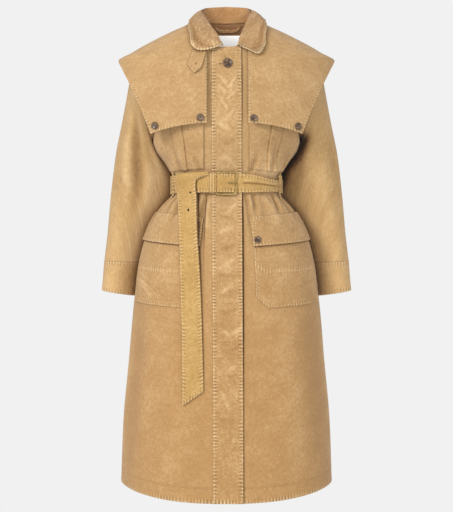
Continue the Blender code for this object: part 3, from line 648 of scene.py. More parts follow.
def tube_faces(rows, columns):
    """Faces between a tube's rings, facing out, and its two ends."""
    ring = np.arange(rows * columns).reshape(rows, columns)
    right = np.roll(ring, -1, axis=1)
    sides = np.stack((ring[:-1], ring[1:], right[1:], right[:-1]), axis=-1).reshape(-1, 4)
    return sides, ring[:1], ring[-1:, ::-1]


# Stitches: length and pitch, half thickness, how far they stand up, how much of that is sunk in,
# how far ahead their direction is taken, and their rings as share of the length and size
STITCH_LENGTH = 0.0030
STITCH_PITCH = 0.0042
STITCH_HALF = 0.00042
STITCH_RISE = 0.00035
STITCH_SUNK = 0.4
STITCH_AHEAD = 0.001
STITCH_RINGS = ((-0.5, 0.25), (-0.3, 1.0), (0.3, 1.0), (0.5, 0.25))
STITCH_SIDES = 4


def on_line(far, line, at):
    """Values of a line at given distances along it."""
    return np.stack([np.interp(at, far, line[:, k]) for k in range(3)], axis=-1)


def stitch_group(name, owners, finish):
    """All stitches of some pieces as one mesh of small rounded dashes."""
    spin = circle(STITCH_SIDES) + math.pi / 4
    per = len(STITCH_RINGS) * STITCH_SIDES
    one = tube_faces(len(STITCH_RINGS), STITCH_SIDES)[0]
    points, quads, base = [], [], 0
    for owner, (line, out) in seams:
        if owner not in owners:
            continue
        far = lengths(line[None], 1)[0]
        keep = np.concatenate(([True], np.diff(far) > TINY))
        far, line, out = far[keep], line[keep], out[keep]
        middles = np.arange(STITCH_PITCH, far[-1] - STITCH_PITCH, STITCH_PITCH)
        at = on_line(far, line, middles)
        up = on_line(far, out, middles)
        ahead = unit(on_line(far, line, middles + STITCH_AHEAD) - at)
        aside = np.cross(ahead, up)
        spokes = aside[:, None] * np.cos(spin)[None, :, None] + up[:, None] * np.sin(spin)[None, :, None]
        rings = []
        for share, size in STITCH_RINGS:
            middle = at + ahead * share * STITCH_LENGTH + up * STITCH_RISE * (size - STITCH_SUNK)
            rings.append(middle[:, None] + spokes * STITCH_HALF * size)
        points.append(np.stack(rings, axis=1).reshape(-1, 3))
        starts = base + per * np.arange(len(middles))
        quads.append((starts[:, None, None] + one[None]).reshape(-1, 4))
        base += per * len(middles)
    piece = mesh_object(name, np.concatenate(points), [np.concatenate(quads)], finish)
    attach(piece, "root")


# Colours, linear
DENIM = (0.372, 0.226, 0.097)
DENIM_DEEP = (0.352, 0.197, 0.074)
SLEEVE = (0.382, 0.236, 0.097)
SLEEVE_DEEP = (0.545, 0.348, 0.158)
# Paler and darker tones: for wash, wear and seam ridges, and for painted highlight and painted shade
DENIM_PALE = (0.66, 0.47, 0.26)
DENIM_DARK = (0.190, 0.095, 0.034)
# Near-black painted shadow for the deepest gaps
GAP_PAINTED_SHADOW = (0.016, 0.006, 0.002)
COLLAR = (0.312, 0.174, 0.070)
STAND = (0.400, 0.204, 0.080)
# Inner faces: darker than the outside, as the twill's duller reverse and as painted shade inside the coat
INSIDE = (0.260, 0.125, 0.055)
INSIDE_PALE = (0.46, 0.27, 0.13)
BELT = (0.380, 0.228, 0.072)
BELT_PALE = (0.66, 0.46, 0.22)
THREAD = (0.56, 0.38, 0.19)
THREAD_PALE = (0.88, 0.82, 0.68)
THREAD_DARK_AND_SLIT_SHADE = (0.085, 0.045, 0.020)
HORN_DARK = (0.040, 0.020, 0.009)
HORN_LIGHT = (0.26, 0.15, 0.08)
OLIVE_BRASS = (0.150, 0.098, 0.026)
OLIVE_RUBBED = (0.42, 0.30, 0.11)
LABEL_WHITE = (0.94, 0.93, 0.91)
# Glow of the label: painted light
LABEL_PAINTED_GLOW = 0.44
# Near-black painted shade for the eyelets' holes
HOLE_SHADE = (0.012, 0.006, 0.003)
# Heights between which the cloth goes from its upper colour to its lower one
FADE_TOP = -0.30
FADE_FOOT = -0.80

# Surface of the twill: roughness, gloss, sheen and the sheen's roughness
TWILL_ROUGH = 0.92
TWILL_GLOSS = 0.18
TWILL_SHEEN = 0.10
SHEEN_ROUGH = 0.6
# Its diagonal ribs: pitch, lean and rise
WEAVE_PITCH = 0.0017
WEAVE_LEAN = 0.6
WEAVE_RISE = 0.00002
# Noises of its wash: scale, detail, roughness, share in the colour, rise
CLOUD = (20.0, 4.0, 0.6, 0.20, 0.0008)
PATCH = (110.0, 3.0, 0.6, 0.20, 0.00035)
STREAK = (1.0, 3.0, 0.6, 0.07, 0.0)
SLUB = (1.0, 2.0, 0.5, 0.20, 0.00009)
GRAIN = (420.0, 2.0, 0.7, 0.30, 0.00012)
# Times that slubs are drawn across and along the cloth, and streaks across and along a slant
SLUB_DRAWN = (900.0, 170.0, 1.0)
STREAK_DRAWN = (330.0, 70.0)
STREAK_SLANT = (0.7, 0.5)
# Seam marks: how the ridges' depth is shared out, the reach of the pale edge, patchy wear of both,
# their shares in the colour, and the ridges' rise
RIDGE_DEEP = -1.45
RIDGE_PALE = 0.60
EDGE_REACH = (0.0010, 0.0042)
WEAR = (260.0, 2.0, 0.5)
WEAR_LIMIT = 0.9
WEAR_LEAST = 0.15
RIDGE_SHARE = 0.62
EDGE_SHARE = 0.30
RIDGE_RISE = 0.0008
# Share of a fold's painted shade in the colour, and the darkness past which painted shade
# goes on to the near-black painted shadow colour
FOLD_SHARE = 0.36
GAP_START = 0.6
# Noise in horn and brass: detail and roughness
SWIRL = (3.0, 0.6)


def node(tree, kind, inputs=(), **settings):
    """A shader node with its settings, and inputs that are values or other nodes' outputs."""
    made = tree.nodes.new(kind)
    for key, value in settings.items():
        setattr(made, key, value)
    for key, value in inputs:
        if isinstance(value, bpy.types.NodeSocket):
            tree.links.new(value, made.inputs[key])
        else:
            made.inputs[key].default_value = value
    return made


def maths(tree, operation, *values):
    return node(tree, "ShaderNodeMath", enumerate(values), operation=operation).outputs[0]


def times(tree, first, second):
    return maths(tree, "MULTIPLY", first, second)


def plus(tree, value, share, rest):
    """A share of a value, added to the rest."""
    return maths(tree, "MULTIPLY_ADD", value, share, rest)


def sine(tree, value, often, start):
    return maths(tree, "SINE", plus(tree, value, often, start))


def band(tree, value, low, high, start, end):
    """A value's share between low and high, eased, as start to end."""
    inputs = ((0, value), (1, low), (2, high), (3, start), (4, end))
    return node(tree, "ShaderNodeMapRange", inputs, interpolation_type="SMOOTHSTEP").outputs[0]


def noise(tree, place, scale, detail, rough):
    """Noise from about -1 to 1."""
    spots = node(tree, "ShaderNodeTexNoise",
                 (("Vector", place), ("Scale", scale), ("Detail", detail), ("Roughness", rough)))
    return plus(tree, spots.outputs[0], 4.0, -2.0)


def blend(tree, share, first, second):
    """A colour between two others, each a tuple or another node's output."""
    shown = [value + (1.0,) if isinstance(value, tuple) else value for value in (first, second)]
    inputs = ((0, share), (6, shown[0]), (7, shown[1]))
    return node(tree, "ShaderNodeMix", inputs, data_type="RGBA", clamp_factor=True).outputs[2]


def plain(name, colour, roughness, metallic=0.0):
    """A finish of one colour, with its node tree and surface."""
    finish = bpy.data.materials.new(name)
    finish.use_nodes = True
    surface = finish.node_tree.nodes["Principled BSDF"]
    surface.inputs["Base Color"].default_value = colour + (1.0,)
    surface.inputs["Roughness"].default_value = roughness
    surface.inputs["Metallic"].default_value = metallic
    return finish, finish.node_tree, surface


def ladder_marks(tree, away, along):
    """The ladder of ridges across a washed seam, as the cloth's forms have it, and its pale edge."""
    slow, quick, swell = (times(tree, sine(tree, along, often, start), size)
                          for size, often, start in LADDER_WAVES)
    wave = sine(tree, along, FULL_TURN / LADDER_PITCH, maths(tree, "ADD", slow, quick))
    inside = band(tree, away, LADDER_FADE, LADDER_FAR, 1.0, 0.0)
    low = plus(tree, wave, -0.5, 0.5)
    broad = plus(tree, times(tree, low, low), RIDGE_DEEP, RIDGE_PALE)
    size = maths(tree, "ADD", swell, LADDER_SIZE)
    ridges = times(tree, times(tree, broad, size), inside)
    return ridges, band(tree, away, *EDGE_REACH, 1.0, 0.0)


def twill(name, colour, deep, pale, dark, fade=1.0, mottle=1.0):
    """Washed cotton twill: a second colour lower down, mottled, paler on seam ridges, painted shade in folds.

    Fade is the strength of its seam marks and mottle that of its wash.
    """
    finish, tree, surface = plain(name, colour, TWILL_ROUGH)
    surface.inputs["Specular IOR Level"].default_value = TWILL_GLOSS
    surface.inputs["Sheen Weight"].default_value = TWILL_SHEEN
    surface.inputs["Sheen Roughness"].default_value = SHEEN_ROUGH
    lay = node(tree, "ShaderNodeAttribute", attribute_name="lay").outputs["Vector"]
    mark = node(tree, "ShaderNodeAttribute", attribute_name="mark").outputs["Vector"]
    sides, ends, fold = node(tree, "ShaderNodeSeparateXYZ", ((0, mark),)).outputs
    across, along, _ = node(tree, "ShaderNodeSeparateXYZ", ((0, lay),)).outputs
    side_ridges, side_edge = ladder_marks(tree, sides, along)
    end_ridges, end_edge = ladder_marks(tree, ends, across)
    ridges = maths(tree, "ADD", side_ridges, end_ridges)
    edge = maths(tree, "MAXIMUM", side_edge, end_edge)

    # Wash, slubs and weave
    slubs = node(tree, "ShaderNodeVectorMath", ((0, lay), (1, SLUB_DRAWN)), operation="MULTIPLY").outputs[0]
    steep, flat = STREAK_SLANT
    slant = times(tree, plus(tree, across, steep, times(tree, along, flat)), STREAK_DRAWN[0])
    fall = times(tree, plus(tree, along, steep, times(tree, across, -flat)), STREAK_DRAWN[1])
    streaks = node(tree, "ShaderNodeCombineXYZ", ((0, slant), (1, fall))).outputs[0]
    lean = plus(tree, along, WEAVE_LEAN, across)
    rise = times(tree, sine(tree, lean, FULL_TURN / WEAVE_PITCH, 0.0), WEAVE_RISE)
    rise = plus(tree, ridges, RIDGE_RISE * fade, rise)
    lift = 0.0
    for place, (scale, detail, rough, share, raised) in (
            (lay, CLOUD), (lay, PATCH), (streaks, STREAK), (slubs, SLUB), (lay, GRAIN)):
        spots = noise(tree, place, scale, detail, rough)
        lift = plus(tree, spots, share * mottle, lift)
        rise = plus(tree, spots, raised, rise)
    bump = node(tree, "ShaderNodeBump", (("Height", rise), ("Strength", 1.0), ("Distance", 1.0)))
    tree.links.new(bump.outputs[0], surface.inputs["Normal"])

    # Colour, paler where lift is above 0 and darker where it is below
    worn = band(tree, noise(tree, lay, *WEAR), -WEAR_LIMIT, WEAR_LIMIT, WEAR_LEAST, 1.0)
    lift = plus(tree, times(tree, ridges, worn), RIDGE_SHARE * fade, lift)
    lift = plus(tree, times(tree, edge, worn), EDGE_SHARE * fade, lift)
    # Painted shade from the third mark: darker in fold troughs and gaps, paler on fold ridges as wear and as
    # painted highlight, and paler where painted light is set
    lift = plus(tree, fold, FOLD_SHARE, lift)
    place = node(tree, "ShaderNodeTexCoord").outputs["Object"]
    height = node(tree, "ShaderNodeSeparateXYZ", ((0, place),)).outputs[2]
    tone = blend(tree, band(tree, height, FADE_FOOT, FADE_TOP, 1.0, 0.0), colour, deep)
    tone = blend(tree, maths(tree, "MAXIMUM", lift, 0.0), tone, pale)
    darkened = times(tree, maths(tree, "MINIMUM", lift, 0.0), -1.0)
    tone = blend(tree, darkened, tone, dark)
    # The deepest painted shade goes on to the near-black painted shadow colour
    tone = blend(tree, maths(tree, "MAXIMUM", maths(tree, "SUBTRACT", darkened, GAP_START), 0.0), tone, GAP_PAINTED_SHADOW)
    tree.links.new(tone, surface.inputs["Base Color"])
    return finish


def swirled(name, colour, other, roughness, metallic, scale, low, high, most):
    """Horn or brass, mottled towards another colour where its noise lies between low and high."""
    finish, tree, surface = plain(name, colour, roughness, metallic)
    place = node(tree, "ShaderNodeTexCoord").outputs["Object"]
    share = band(tree, noise(tree, place, scale, *SWIRL), low, high, 0.0, most)
    tree.links.new(blend(tree, share, colour, other), surface.inputs["Base Color"])
    return finish


denim = twill("denim_twill", DENIM, DENIM_DEEP, DENIM_PALE, DENIM_DARK)
body_denim = twill("denim_body", DENIM, DENIM_DEEP, DENIM_PALE, DENIM_DARK, fade=1.5, mottle=0.72)
placket_denim = twill("denim_placket", DENIM, DENIM_DEEP, DENIM_PALE, DENIM_DARK, fade=1.7, mottle=1.2)
sleeve_denim = twill("denim_sleeve", SLEEVE, SLEEVE_DEEP, DENIM_PALE, DENIM_DARK, fade=1.4, mottle=0.85)
collar_denim = twill("denim_collar", COLLAR, COLLAR, DENIM_PALE, DENIM_DARK, fade=2.0, mottle=1.8)
stand_denim = twill("denim_stand", STAND, STAND, DENIM_PALE, DENIM_DARK, fade=0.8)
inner_denim = twill("denim_inside", INSIDE, INSIDE, INSIDE_PALE, DENIM_DARK, fade=0.5)
belt_twill = twill("belt_twill", BELT, BELT, BELT_PALE, DENIM_DARK, fade=1.5)
thread = plain("thread", THREAD, 0.8)[0]
pale_thread = plain("thread_pale", THREAD_PALE, 0.8)[0]
# Dark thread, also used for the painted shade in the buttonholes' slits
dark_thread_and_slit_shade = plain("thread_dark_and_slit_shade", THREAD_DARK_AND_SLIT_SHADE, 0.7)[0]
horn_finish = swirled("horn", HORN_DARK, HORN_LIGHT, roughness=0.30, metallic=0.0, scale=160.0,
                      low=-0.5, high=1.1, most=1.0)
brass_finish = swirled("olive_brass", OLIVE_BRASS, OLIVE_RUBBED, roughness=0.42, metallic=0.75, scale=300.0,
                       low=-1.0, high=1.2, most=0.6)
label_finish, _, label_surface = plain("label_white", LABEL_WHITE, 0.6)
# The label glows a little: painted light that keeps it white in the shade inside the neck
label_surface.inputs["Emission Color"].default_value = LABEL_WHITE + (1.0,)
label_surface.inputs["Emission Strength"].default_value = LABEL_PAINTED_GLOW
hole_shade_finish = plain("hole_painted_shade", HOLE_SHADE, 0.9)[0]


# Small creases washed into the placket: x and height where each starts and ends, half width, depth
PLACKET_CREASES = (
    (-0.014, -0.048, 0.004, -0.070, 0.0022, -0.0012),
    (-0.022, -0.100, 0.004, -0.128, 0.0028, 0.0016),
    (0.022, -0.104, 0.002, -0.134, 0.0028, 0.0016),
    (-0.020, -0.124, 0.000, -0.150, 0.0026, 0.0015),
    (0.014, -0.118, 0.006, -0.146, 0.0024, 0.0014),
    (0.021, -0.138, -0.002, -0.160, 0.0026, 0.0015),
    (-0.018, -0.152, 0.004, -0.186, 0.0030, 0.0009),
    (0.020, -0.178, -0.004, -0.206, 0.0030, 0.0009),
    (-0.020, -0.214, 0.010, -0.230, 0.0050, 0.0009),
    (0.022, -0.250, -0.012, -0.262, 0.0044, -0.0008),
    (-0.018, -0.290, 0.016, -0.300, 0.0050, 0.0009),
    (0.024, -0.398, -0.002, -0.424, 0.0050, 0.0010),
    (-0.026, -0.428, 0.020, -0.440, 0.0046, -0.0009),
    (-0.020, -0.470, 0.018, -0.458, 0.0054, 0.0010),
    (0.026, -0.494, -0.016, -0.506, 0.0046, -0.0009),
    (0.020, -0.524, -0.010, -0.548, 0.0054, 0.0009),
    (-0.024, -0.566, 0.022, -0.572, 0.0050, -0.0008),
    (-0.012, -0.604, 0.020, -0.590, 0.0056, 0.0009),
    (0.026, -0.640, -0.010, -0.652, 0.0046, -0.0008),
    (0.036, -0.684, 0.010, -0.700, 0.0040, 0.0012),
    (-0.018, -0.690, 0.010, -0.704, 0.0050, 0.0008),
    (0.034, -0.716, 0.012, -0.740, 0.0044, -0.0009),
    (0.020, -0.768, -0.006, -0.790, 0.0050, 0.0007),
    (-0.014, -0.830, 0.010, -0.872, 0.0036, 0.0006),
    (0.020, -0.930, 0.000, -0.968, 0.0036, 0.0006),
)
# Washed creases over the right hip pocket, in the same columns
POCKET_CREASES = (
    (-0.208, -0.572, -0.150, -0.626, 0.0034, 0.0012),
    (-0.200, -0.588, -0.166, -0.622, 0.0030, 0.0010),
    (-0.194, -0.566, -0.158, -0.598, 0.0030, 0.0009),
)
# How far a crease bows, as a share of its length, and the shares over which it starts and ends
CREASE_BOW = 0.18
CREASE_START = (-0.1, 0.25)
CREASE_END = (0.7, 1.1)

# Dark gaps seen along an edge: height, distance from the middle, half width, share of shadow
PLACKET_GAP = (
    (-1.080, 0.0392, 0.0016, 0.60),
    (-0.780, 0.0386, 0.0017, 0.70),
    (-0.700, 0.0382, 0.0020, 1.00),
    (-0.600, 0.0380, 0.0022, 1.10),
    (-0.420, 0.0374, 0.0022, 1.10),
    (-0.375, 0.0370, 0.0019, 0.90),
    (-0.330, 0.0366, 0.0013, 0.30),
    (-0.100, 0.0358, 0.0014, 0.60),
    (-0.040, 0.0354, 0.0012, 0.30),
)
TAIL_GAP = (
    (-0.840, 0.0500, 0.0014, 0.00),
    (-0.800, 0.0515, 0.0016, 0.40),
    (-0.600, 0.0572, 0.0018, 0.60),
    (-0.450, 0.0640, 0.0024, 1.00),
    (-0.375, 0.0645, 0.0026, 1.00),
    (-0.330, 0.0650, 0.0024, 0.00),
)
TROUGH_GAP = (
    (-0.640, 0.0500, 0.0018, 0.00),
    (-0.530, 0.0528, 0.0018, 0.35),
    (-0.450, 0.0500, 0.0017, 0.70),
    (-0.386, 0.0478, 0.0015, 0.65),
    (-0.360, 0.0478, 0.0014, 0.00),
)

# Distances of stitch lines from an edge
EDGE_STITCH = 0.003
CAPE_STITCH = 0.0035
TURN_STITCH = 0.004
BACK_STITCH = 0.005
SECOND_STITCH = 0.009
POCKET_STITCH = 0.010
COLLAR_STITCH = 0.011
CAPE_SECOND = 0.012
WIDE_STITCH = 0.013
HEM_STITCH = 0.034


def gap_shade(rows, x, height):
    """Share of shadow near a gap that runs down the front."""
    place, half, share = (smooth(rows, k, height)[0] for k in (1, 2, 3))
    return np.clip(share, 0, 1) * bell((np.abs(x) - place) / half)


def creases(table, x, height):
    """Short soft ridges or troughs between two places on the front."""
    total = np.zeros(np.broadcast(x, height).shape)
    for x0, z0, x1, z1, half, depth in table:
        run = math.hypot(x1 - x0, z1 - z0)
        t = ((x - x0) * (x1 - x0) + (height - z0) * (z1 - z0)) / run ** 2
        away = ((x - x0) * (z1 - z0) - (height - z0) * (x1 - x0)) / run
        bowed = (away + CREASE_BOW * run * (t - t * t)) / half
        total += depth * fade_in_out(CREASE_START, CREASE_END, t) * bell(bowed)
    return total


def on_body(name, angle, height, low, finish, extra=0.0, shade=0.0, **how):
    """A piece laid on the body form, low out from it; shade adds to the relief that tints it."""
    outer = body(angle, height, low + CLOTH + extra)
    inner = body(angle, height, low + extra)
    cloth(name, outer, inner, finish, fold=relief(angle, height) + shade, **how)


def sewn_along(sides, *insets):
    """Stitch lines at each inset from each side."""
    return tuple((side, inset) for inset in insets for side in sides)


# Body panels: half width and shade of the groove at the hem's stitching, and its five rows
HEM_GROOVE = 0.0012
HEM_SHADE = 0.34
GROOVE_ROWS = np.linspace(-1.5, 1.5, 5)
# Gap at the side seams and half the gap at the middle of the back, in radians
SIDE_GAP = 0.0008
BACK_GAP = 0.0004
BACK_COLUMNS = 76
# A front's shares of columns before, between and past its dark gaps, and the margin beside these
GAP_START_SHARE = 0.08
GAP_END_SHARE = 0.30
GAP_COLUMNS = (9, 24, 62)
GAP_MARGIN = 0.004
# Where the fronts end behind the placket
FRONT_EDGE_RIGHT = -0.022
FRONT_EDGE_LEFT = 0.006


def hem_rise(share, height):
    """How far the hem is raised: share 0 is the middle of the front or back, 1 the side seam."""
    return HEM_RISE * np.sin(share * RIGHT_ANGLE) ** 2 * (1 - ease(HEM, HEM_RISE_TOP, height))


def panel_rows():
    """Heights of a panel's rows, closer together at the hem's stitching, and the shade there."""
    rows = np.concatenate((spaced(HEM, NECK_TOP, GRID), HEM + HEM_STITCH + HEM_GROOVE * GROOVE_ROWS))
    rows = np.sort(rows)[:, None]
    return rows, HEM_SHADE * bell((rows - HEM - HEM_STITCH) / HEM_GROOVE)


def front_angles(share, height, edge, side, middle_x, gaps):
    """Angles of a front's columns, and each one's share of the way from the middle to the seam."""
    near = smooth(gaps[0], 1, height)[0] - GAP_MARGIN
    far = smooth(gaps[-1], 1, height)[0] + GAP_MARGIN
    middle, close, past = (angle_at(BODY_RINGS, x, height) for x in (middle_x, side * near, side * far))
    angle = middle
    for start, end, first, last in ((0.0, GAP_START_SHARE, middle, close),
                                    (GAP_START_SHARE, GAP_END_SHARE, close, past),
                                    (GAP_END_SHARE, 1.0, past, edge)):
        angle = angle + (last - first) * np.clip((share - start) / (end - start), 0, 1)
    return angle, (angle - middle) / (edge - middle)


def front_panel(hand, side, middle_x, gaps):
    """One front, with columns closer together between its dark gaps."""
    rows, groove = panel_rows()
    before, inside, past = GAP_COLUMNS
    share = np.concatenate((np.linspace(0, GAP_START_SHARE, before),
                            np.linspace(GAP_START_SHARE, GAP_END_SHARE, inside)[1:],
                            np.linspace(GAP_END_SHARE, 1, past)[1:]))[None, :]
    edge = side * (RIGHT_ANGLE - SIDE_GAP - armhole(rows, ARMHOLE_FRONT))
    even = front_angles(share, rows + 0 * share, edge, side, middle_x, gaps)[1]
    dip = NECK_DIP * np.cos(even * RIGHT_ANGLE) ** 2
    height = rows - dip * ease(DIP_START, NECK_TOP, rows) + hem_rise(even, rows)
    angle = front_angles(share, height, edge, side, middle_x, gaps)[0]
    x = skin(BODY_RINGS, angle, height, 0.0)[..., 0]
    gap = groove + sum(gap_shade(table, x, height) for table in gaps)
    on_body("front_" + hand, angle, height, 0.0, body_denim, edges=("bottom",), gap=gap,
            stands=("bodice_front_" + hand, "skirt_front_" + hand), lining=inner_denim,
            rests_on=("collar_stand",), sewn=sewn_along(("bottom",), HEM_STITCH, TURN_STITCH))


def back_panel(hand, side):
    """One half of the back, seamed to the other in the middle."""
    rows, groove = panel_rows()
    share = np.linspace(0, 1, BACK_COLUMNS)[None, :]
    height = rows + hem_rise(1 - share, rows)
    edge = RIGHT_ANGLE + SIDE_GAP + armhole(rows, ARMHOLE_BACK)
    angle = side * (edge + share * (math.pi - BACK_GAP - edge))
    on_body("back_" + hand, angle, height, 0.0, body_denim, edges=("bottom", "right"), gap=groove,
            stands=("bodice_back_" + hand, "skirt_back_" + hand), lining=inner_denim,
            rests_on=("collar_stand",),
            sewn=sewn_along(("bottom",), HEM_STITCH, TURN_STITCH) + (("right", BACK_STITCH),))


# Sleeves: columns and rows, where the columns start, just past the inner side, how far the first
# ring's outer and inner faces are set into the armhole, and the shares where folds start and end
ARM_COLUMNS = 84
SLEEVE_ROWS = 132
CUFF_ROWS = 30
ARM_TURN = math.pi + 0.0005
ARMHOLE_OUTER = (0.010, 0.0014)
ARMHOLE_INNER = (0.024, 0.0032)
ARMHOLE_LEAST = 0.0015
SLEEVE_FOLD_START = (0.05, 0.2)
SLEEVE_FOLD_END = (0.93, 1.0)
CUFF_THICK = CLOTH * 1.6
# A normal that points further back than this isn't shaded
FACING_BACK = 0.6
# Shadow between the left sleeve and the body under the arm: heights of its foot and head, reach, share
ARM_SHADOW_FOOT = (-0.385, -0.330)
ARM_SHADOW_HEAD = (-0.250, -0.215)
ARM_SHADOW_REACH = 0.024
ARM_SHADOW_SHARE = 1.50
# Narrow shadow where the left arm goes behind the body's side: heights where it starts and is full,
# reach, share
SIDE_SHADOW_TOP = -0.34
SIDE_SHADOW_FULL = -0.42
SIDE_SHADOW_REACH = 0.0155
SIDE_SHADOW_SHARE = 0.46
# Painted light on the inner front of the right sleeve: degrees round, half width, share, and the shares
# of the length over which it starts
SLEEVE_PAINTED_LIGHT = (128.0, 30.0, 0.36)
SLEEVE_PAINTED_LIGHT_START = (0.30, 0.50)
# Shaded crease down the front of the right sleeve: degrees round at the top, turn over the length,
# half width, share, and the shares of the length over which it starts and ends
SLEEVE_CREASE = (68.0, 30.0, 9.0, 0.14)
SLEEVE_CREASE_START = (0.10, 0.22)
SLEEVE_CREASE_END = (0.60, 0.80)


def ring_points(rows, side, turn):
    """Rings of a sleeve or cuff, from the shoulder down; turn 0 is the outer side."""
    rings = []
    for outer_x, outer_z, inner_x, inner_z, middle_y, depth, set_back in rows:
        swing = np.cos(turn)
        x = (outer_x + inner_x) / 2 + (outer_x - inner_x) / 2 * swing
        z = (outer_z + inner_z) / 2 + (outer_z - inner_z) / 2 * swing
        y = middle_y - depth * np.sin(turn) + set_back * (1 - swing) / 2
        rings.append(np.stack((side * x, y, z), axis=-1))
    return np.array(rings)


def armhole_ring(side, inset, lift, turn):
    """The sleeve's first edge, set into the armhole by inset and lift."""
    height = UNDERARM + (SHOULDER_TIP - UNDERARM) * (1 + np.cos(turn)) / 2
    sewn = np.clip(height, UNDERARM + lift, SHOULDER_TIP - lift)
    ahead = np.sin(turn) > 0
    reach = armhole(height, np.where(ahead, ARMHOLE_FRONT, ARMHOLE_BACK)) - inset
    reach = np.maximum(reach, ARMHOLE_LEAST)
    angle = RIGHT_ANGLE + np.where(ahead, -reach, reach)
    return skin(BODY_RINGS, side * angle, sewn, CLOTH / 2)


def loft(rings, count):
    """Rows of points on a smooth surface through rings, and each row's share of the length."""
    steps = np.linalg.norm(np.diff(rings, axis=0), axis=-1).mean(axis=1)
    knots = np.concatenate(([0.0], np.cumsum(steps)))
    slopes = np.gradient(rings, knots, axis=0)
    t = np.linspace(0, knots[-1], count)
    i = np.clip(np.searchsorted(knots, t) - 1, 0, len(knots) - 2)
    step = (knots[i + 1] - knots[i])[:, None, None]
    u = (t - knots[i])[:, None, None] / step
    return cubic(rings[i], rings[i + 1], slopes[i], slopes[i + 1], step, u), t / knots[-1]


def beside_body(points, normal, reach):
    """Share of nearness to the body's side, on the parts that don't face back."""
    away = np.maximum(points[..., 0] - smooth(BODY_RINGS, 1, points[..., 2])[0], 0)
    return bell(away / reach) * (normal[..., 1] < FACING_BACK)


def side_shadow(points, normal):
    """Share of shadow on the front of the left arm close to the body's side."""
    lasting = ease(SIDE_SHADOW_TOP, SIDE_SHADOW_FULL, points[..., 2])
    return SIDE_SHADOW_SHARE * lasting * beside_body(points, normal, SIDE_SHADOW_REACH)


def left_arm_shade(points, normal):
    """Shadow on the left sleeve, under the arm and along the body's side."""
    lasting = fade_in_out(ARM_SHADOW_FOOT, ARM_SHADOW_HEAD, points[..., 2])
    under_arm = ARM_SHADOW_SHARE * lasting * beside_body(points, normal, ARM_SHADOW_REACH)
    return under_arm + side_shadow(points, normal)


def right_arm_shade(degrees, share):
    """Painted light on the inner front and painted shade along a crease down the front of the right sleeve.
    """
    middle, half, pale = SLEEVE_PAINTED_LIGHT
    painted_light = -pale * ease(*SLEEVE_PAINTED_LIGHT_START, share) * bell((degrees - middle) / half)
    start, turn, half, dark = SLEEVE_CREASE
    lasting = fade_in_out(SLEEVE_CREASE_START, SLEEVE_CREASE_END, share)
    return painted_light + dark * lasting * bell((degrees - start - turn * share) / half)


def sleeve(hand, side, table):
    """A sleeve from the armhole to the cuff, with its folds."""
    turn = circle(ARM_COLUMNS) + ARM_TURN
    first = armhole_ring(side, *ARMHOLE_OUTER, turn)
    outer, share = loft(np.concatenate((first[None], ring_points(SLEEVE_RINGS, side, turn))), SLEEVE_ROWS)
    share = share[:, None]
    degrees = np.degrees(turn)[None, :]
    fold = folds(table, degrees, share) * fade_in_out(SLEEVE_FOLD_START, SLEEVE_FOLD_END, share)
    outer = outer + grid_normals(outer, True) * side * fold[..., None]
    normal = grid_normals(outer, True) * side
    inner = outer - normal * CLOTH
    inner[0] = armhole_ring(side, *ARMHOLE_INNER, turn)
    gap = left_arm_shade(outer, normal) if side > 0 else right_arm_shade(degrees % 360, share)
    stands = [level + "_sleeve_" + face + "_" + hand
              for level in ("upper", "lower") for face in ("front", "back")]
    cloth("sleeve_" + hand, outer, inner, sleeve_denim, wrap=True, fold=fold, gap=gap, stands=stands,
          rests_on=("front_%s_cloth" % hand,))


def cuff(hand, side):
    """A cuff, stitched round both edges."""
    turn = circle(ARM_COLUMNS) + ARM_TURN
    outer, _ = loft(ring_points(CUFF_RINGS, side, turn), CUFF_ROWS)
    normal = grid_normals(outer, True) * side
    cloth("cuff_" + hand, outer, outer - normal * CUFF_THICK, sleeve_denim, wrap=True,
          edges=("bottom", "top"), gap=side_shadow(outer, normal) if side > 0 else 0.0,
          rests_on=("sleeve_%s_cloth" % hand,),
          sewn=(("bottom", EDGE_STITCH), ("top", TURN_STITCH), ("top", SECOND_STITCH)))


# Cape: columns and row pitch of its fronts and back, curves of the fronts' lower and upper edge, and
# where the outer edge becomes the shoulder seam, with half the gap there in radians
CAPE_FRONT_COLUMNS = 72
CAPE_FRONT_PITCH = 0.0038
CAPE_BACK_COLUMNS = 140
CAPE_BACK_PITCH = 0.0042
CAPE_BOTTOM_CURVE = 1.5
CAPE_TOP_CURVE = 0.38
CAPE_SEAM_START = CAPE_TIP - 0.001
CAPE_SEAM_GAP = 0.002
CAPE_EDGES = ("left", "bottom", "right")


def cape_outer(height):
    """Angle of the cape's outer edge, which is the shoulder seam above the tip."""
    angle = angle_at(CAPE_RINGS, smooth(CAPE_OUTER, 1, height)[0], height)
    return np.where(height > CAPE_SEAM_START, RIGHT_ANGLE - CAPE_SEAM_GAP, angle)


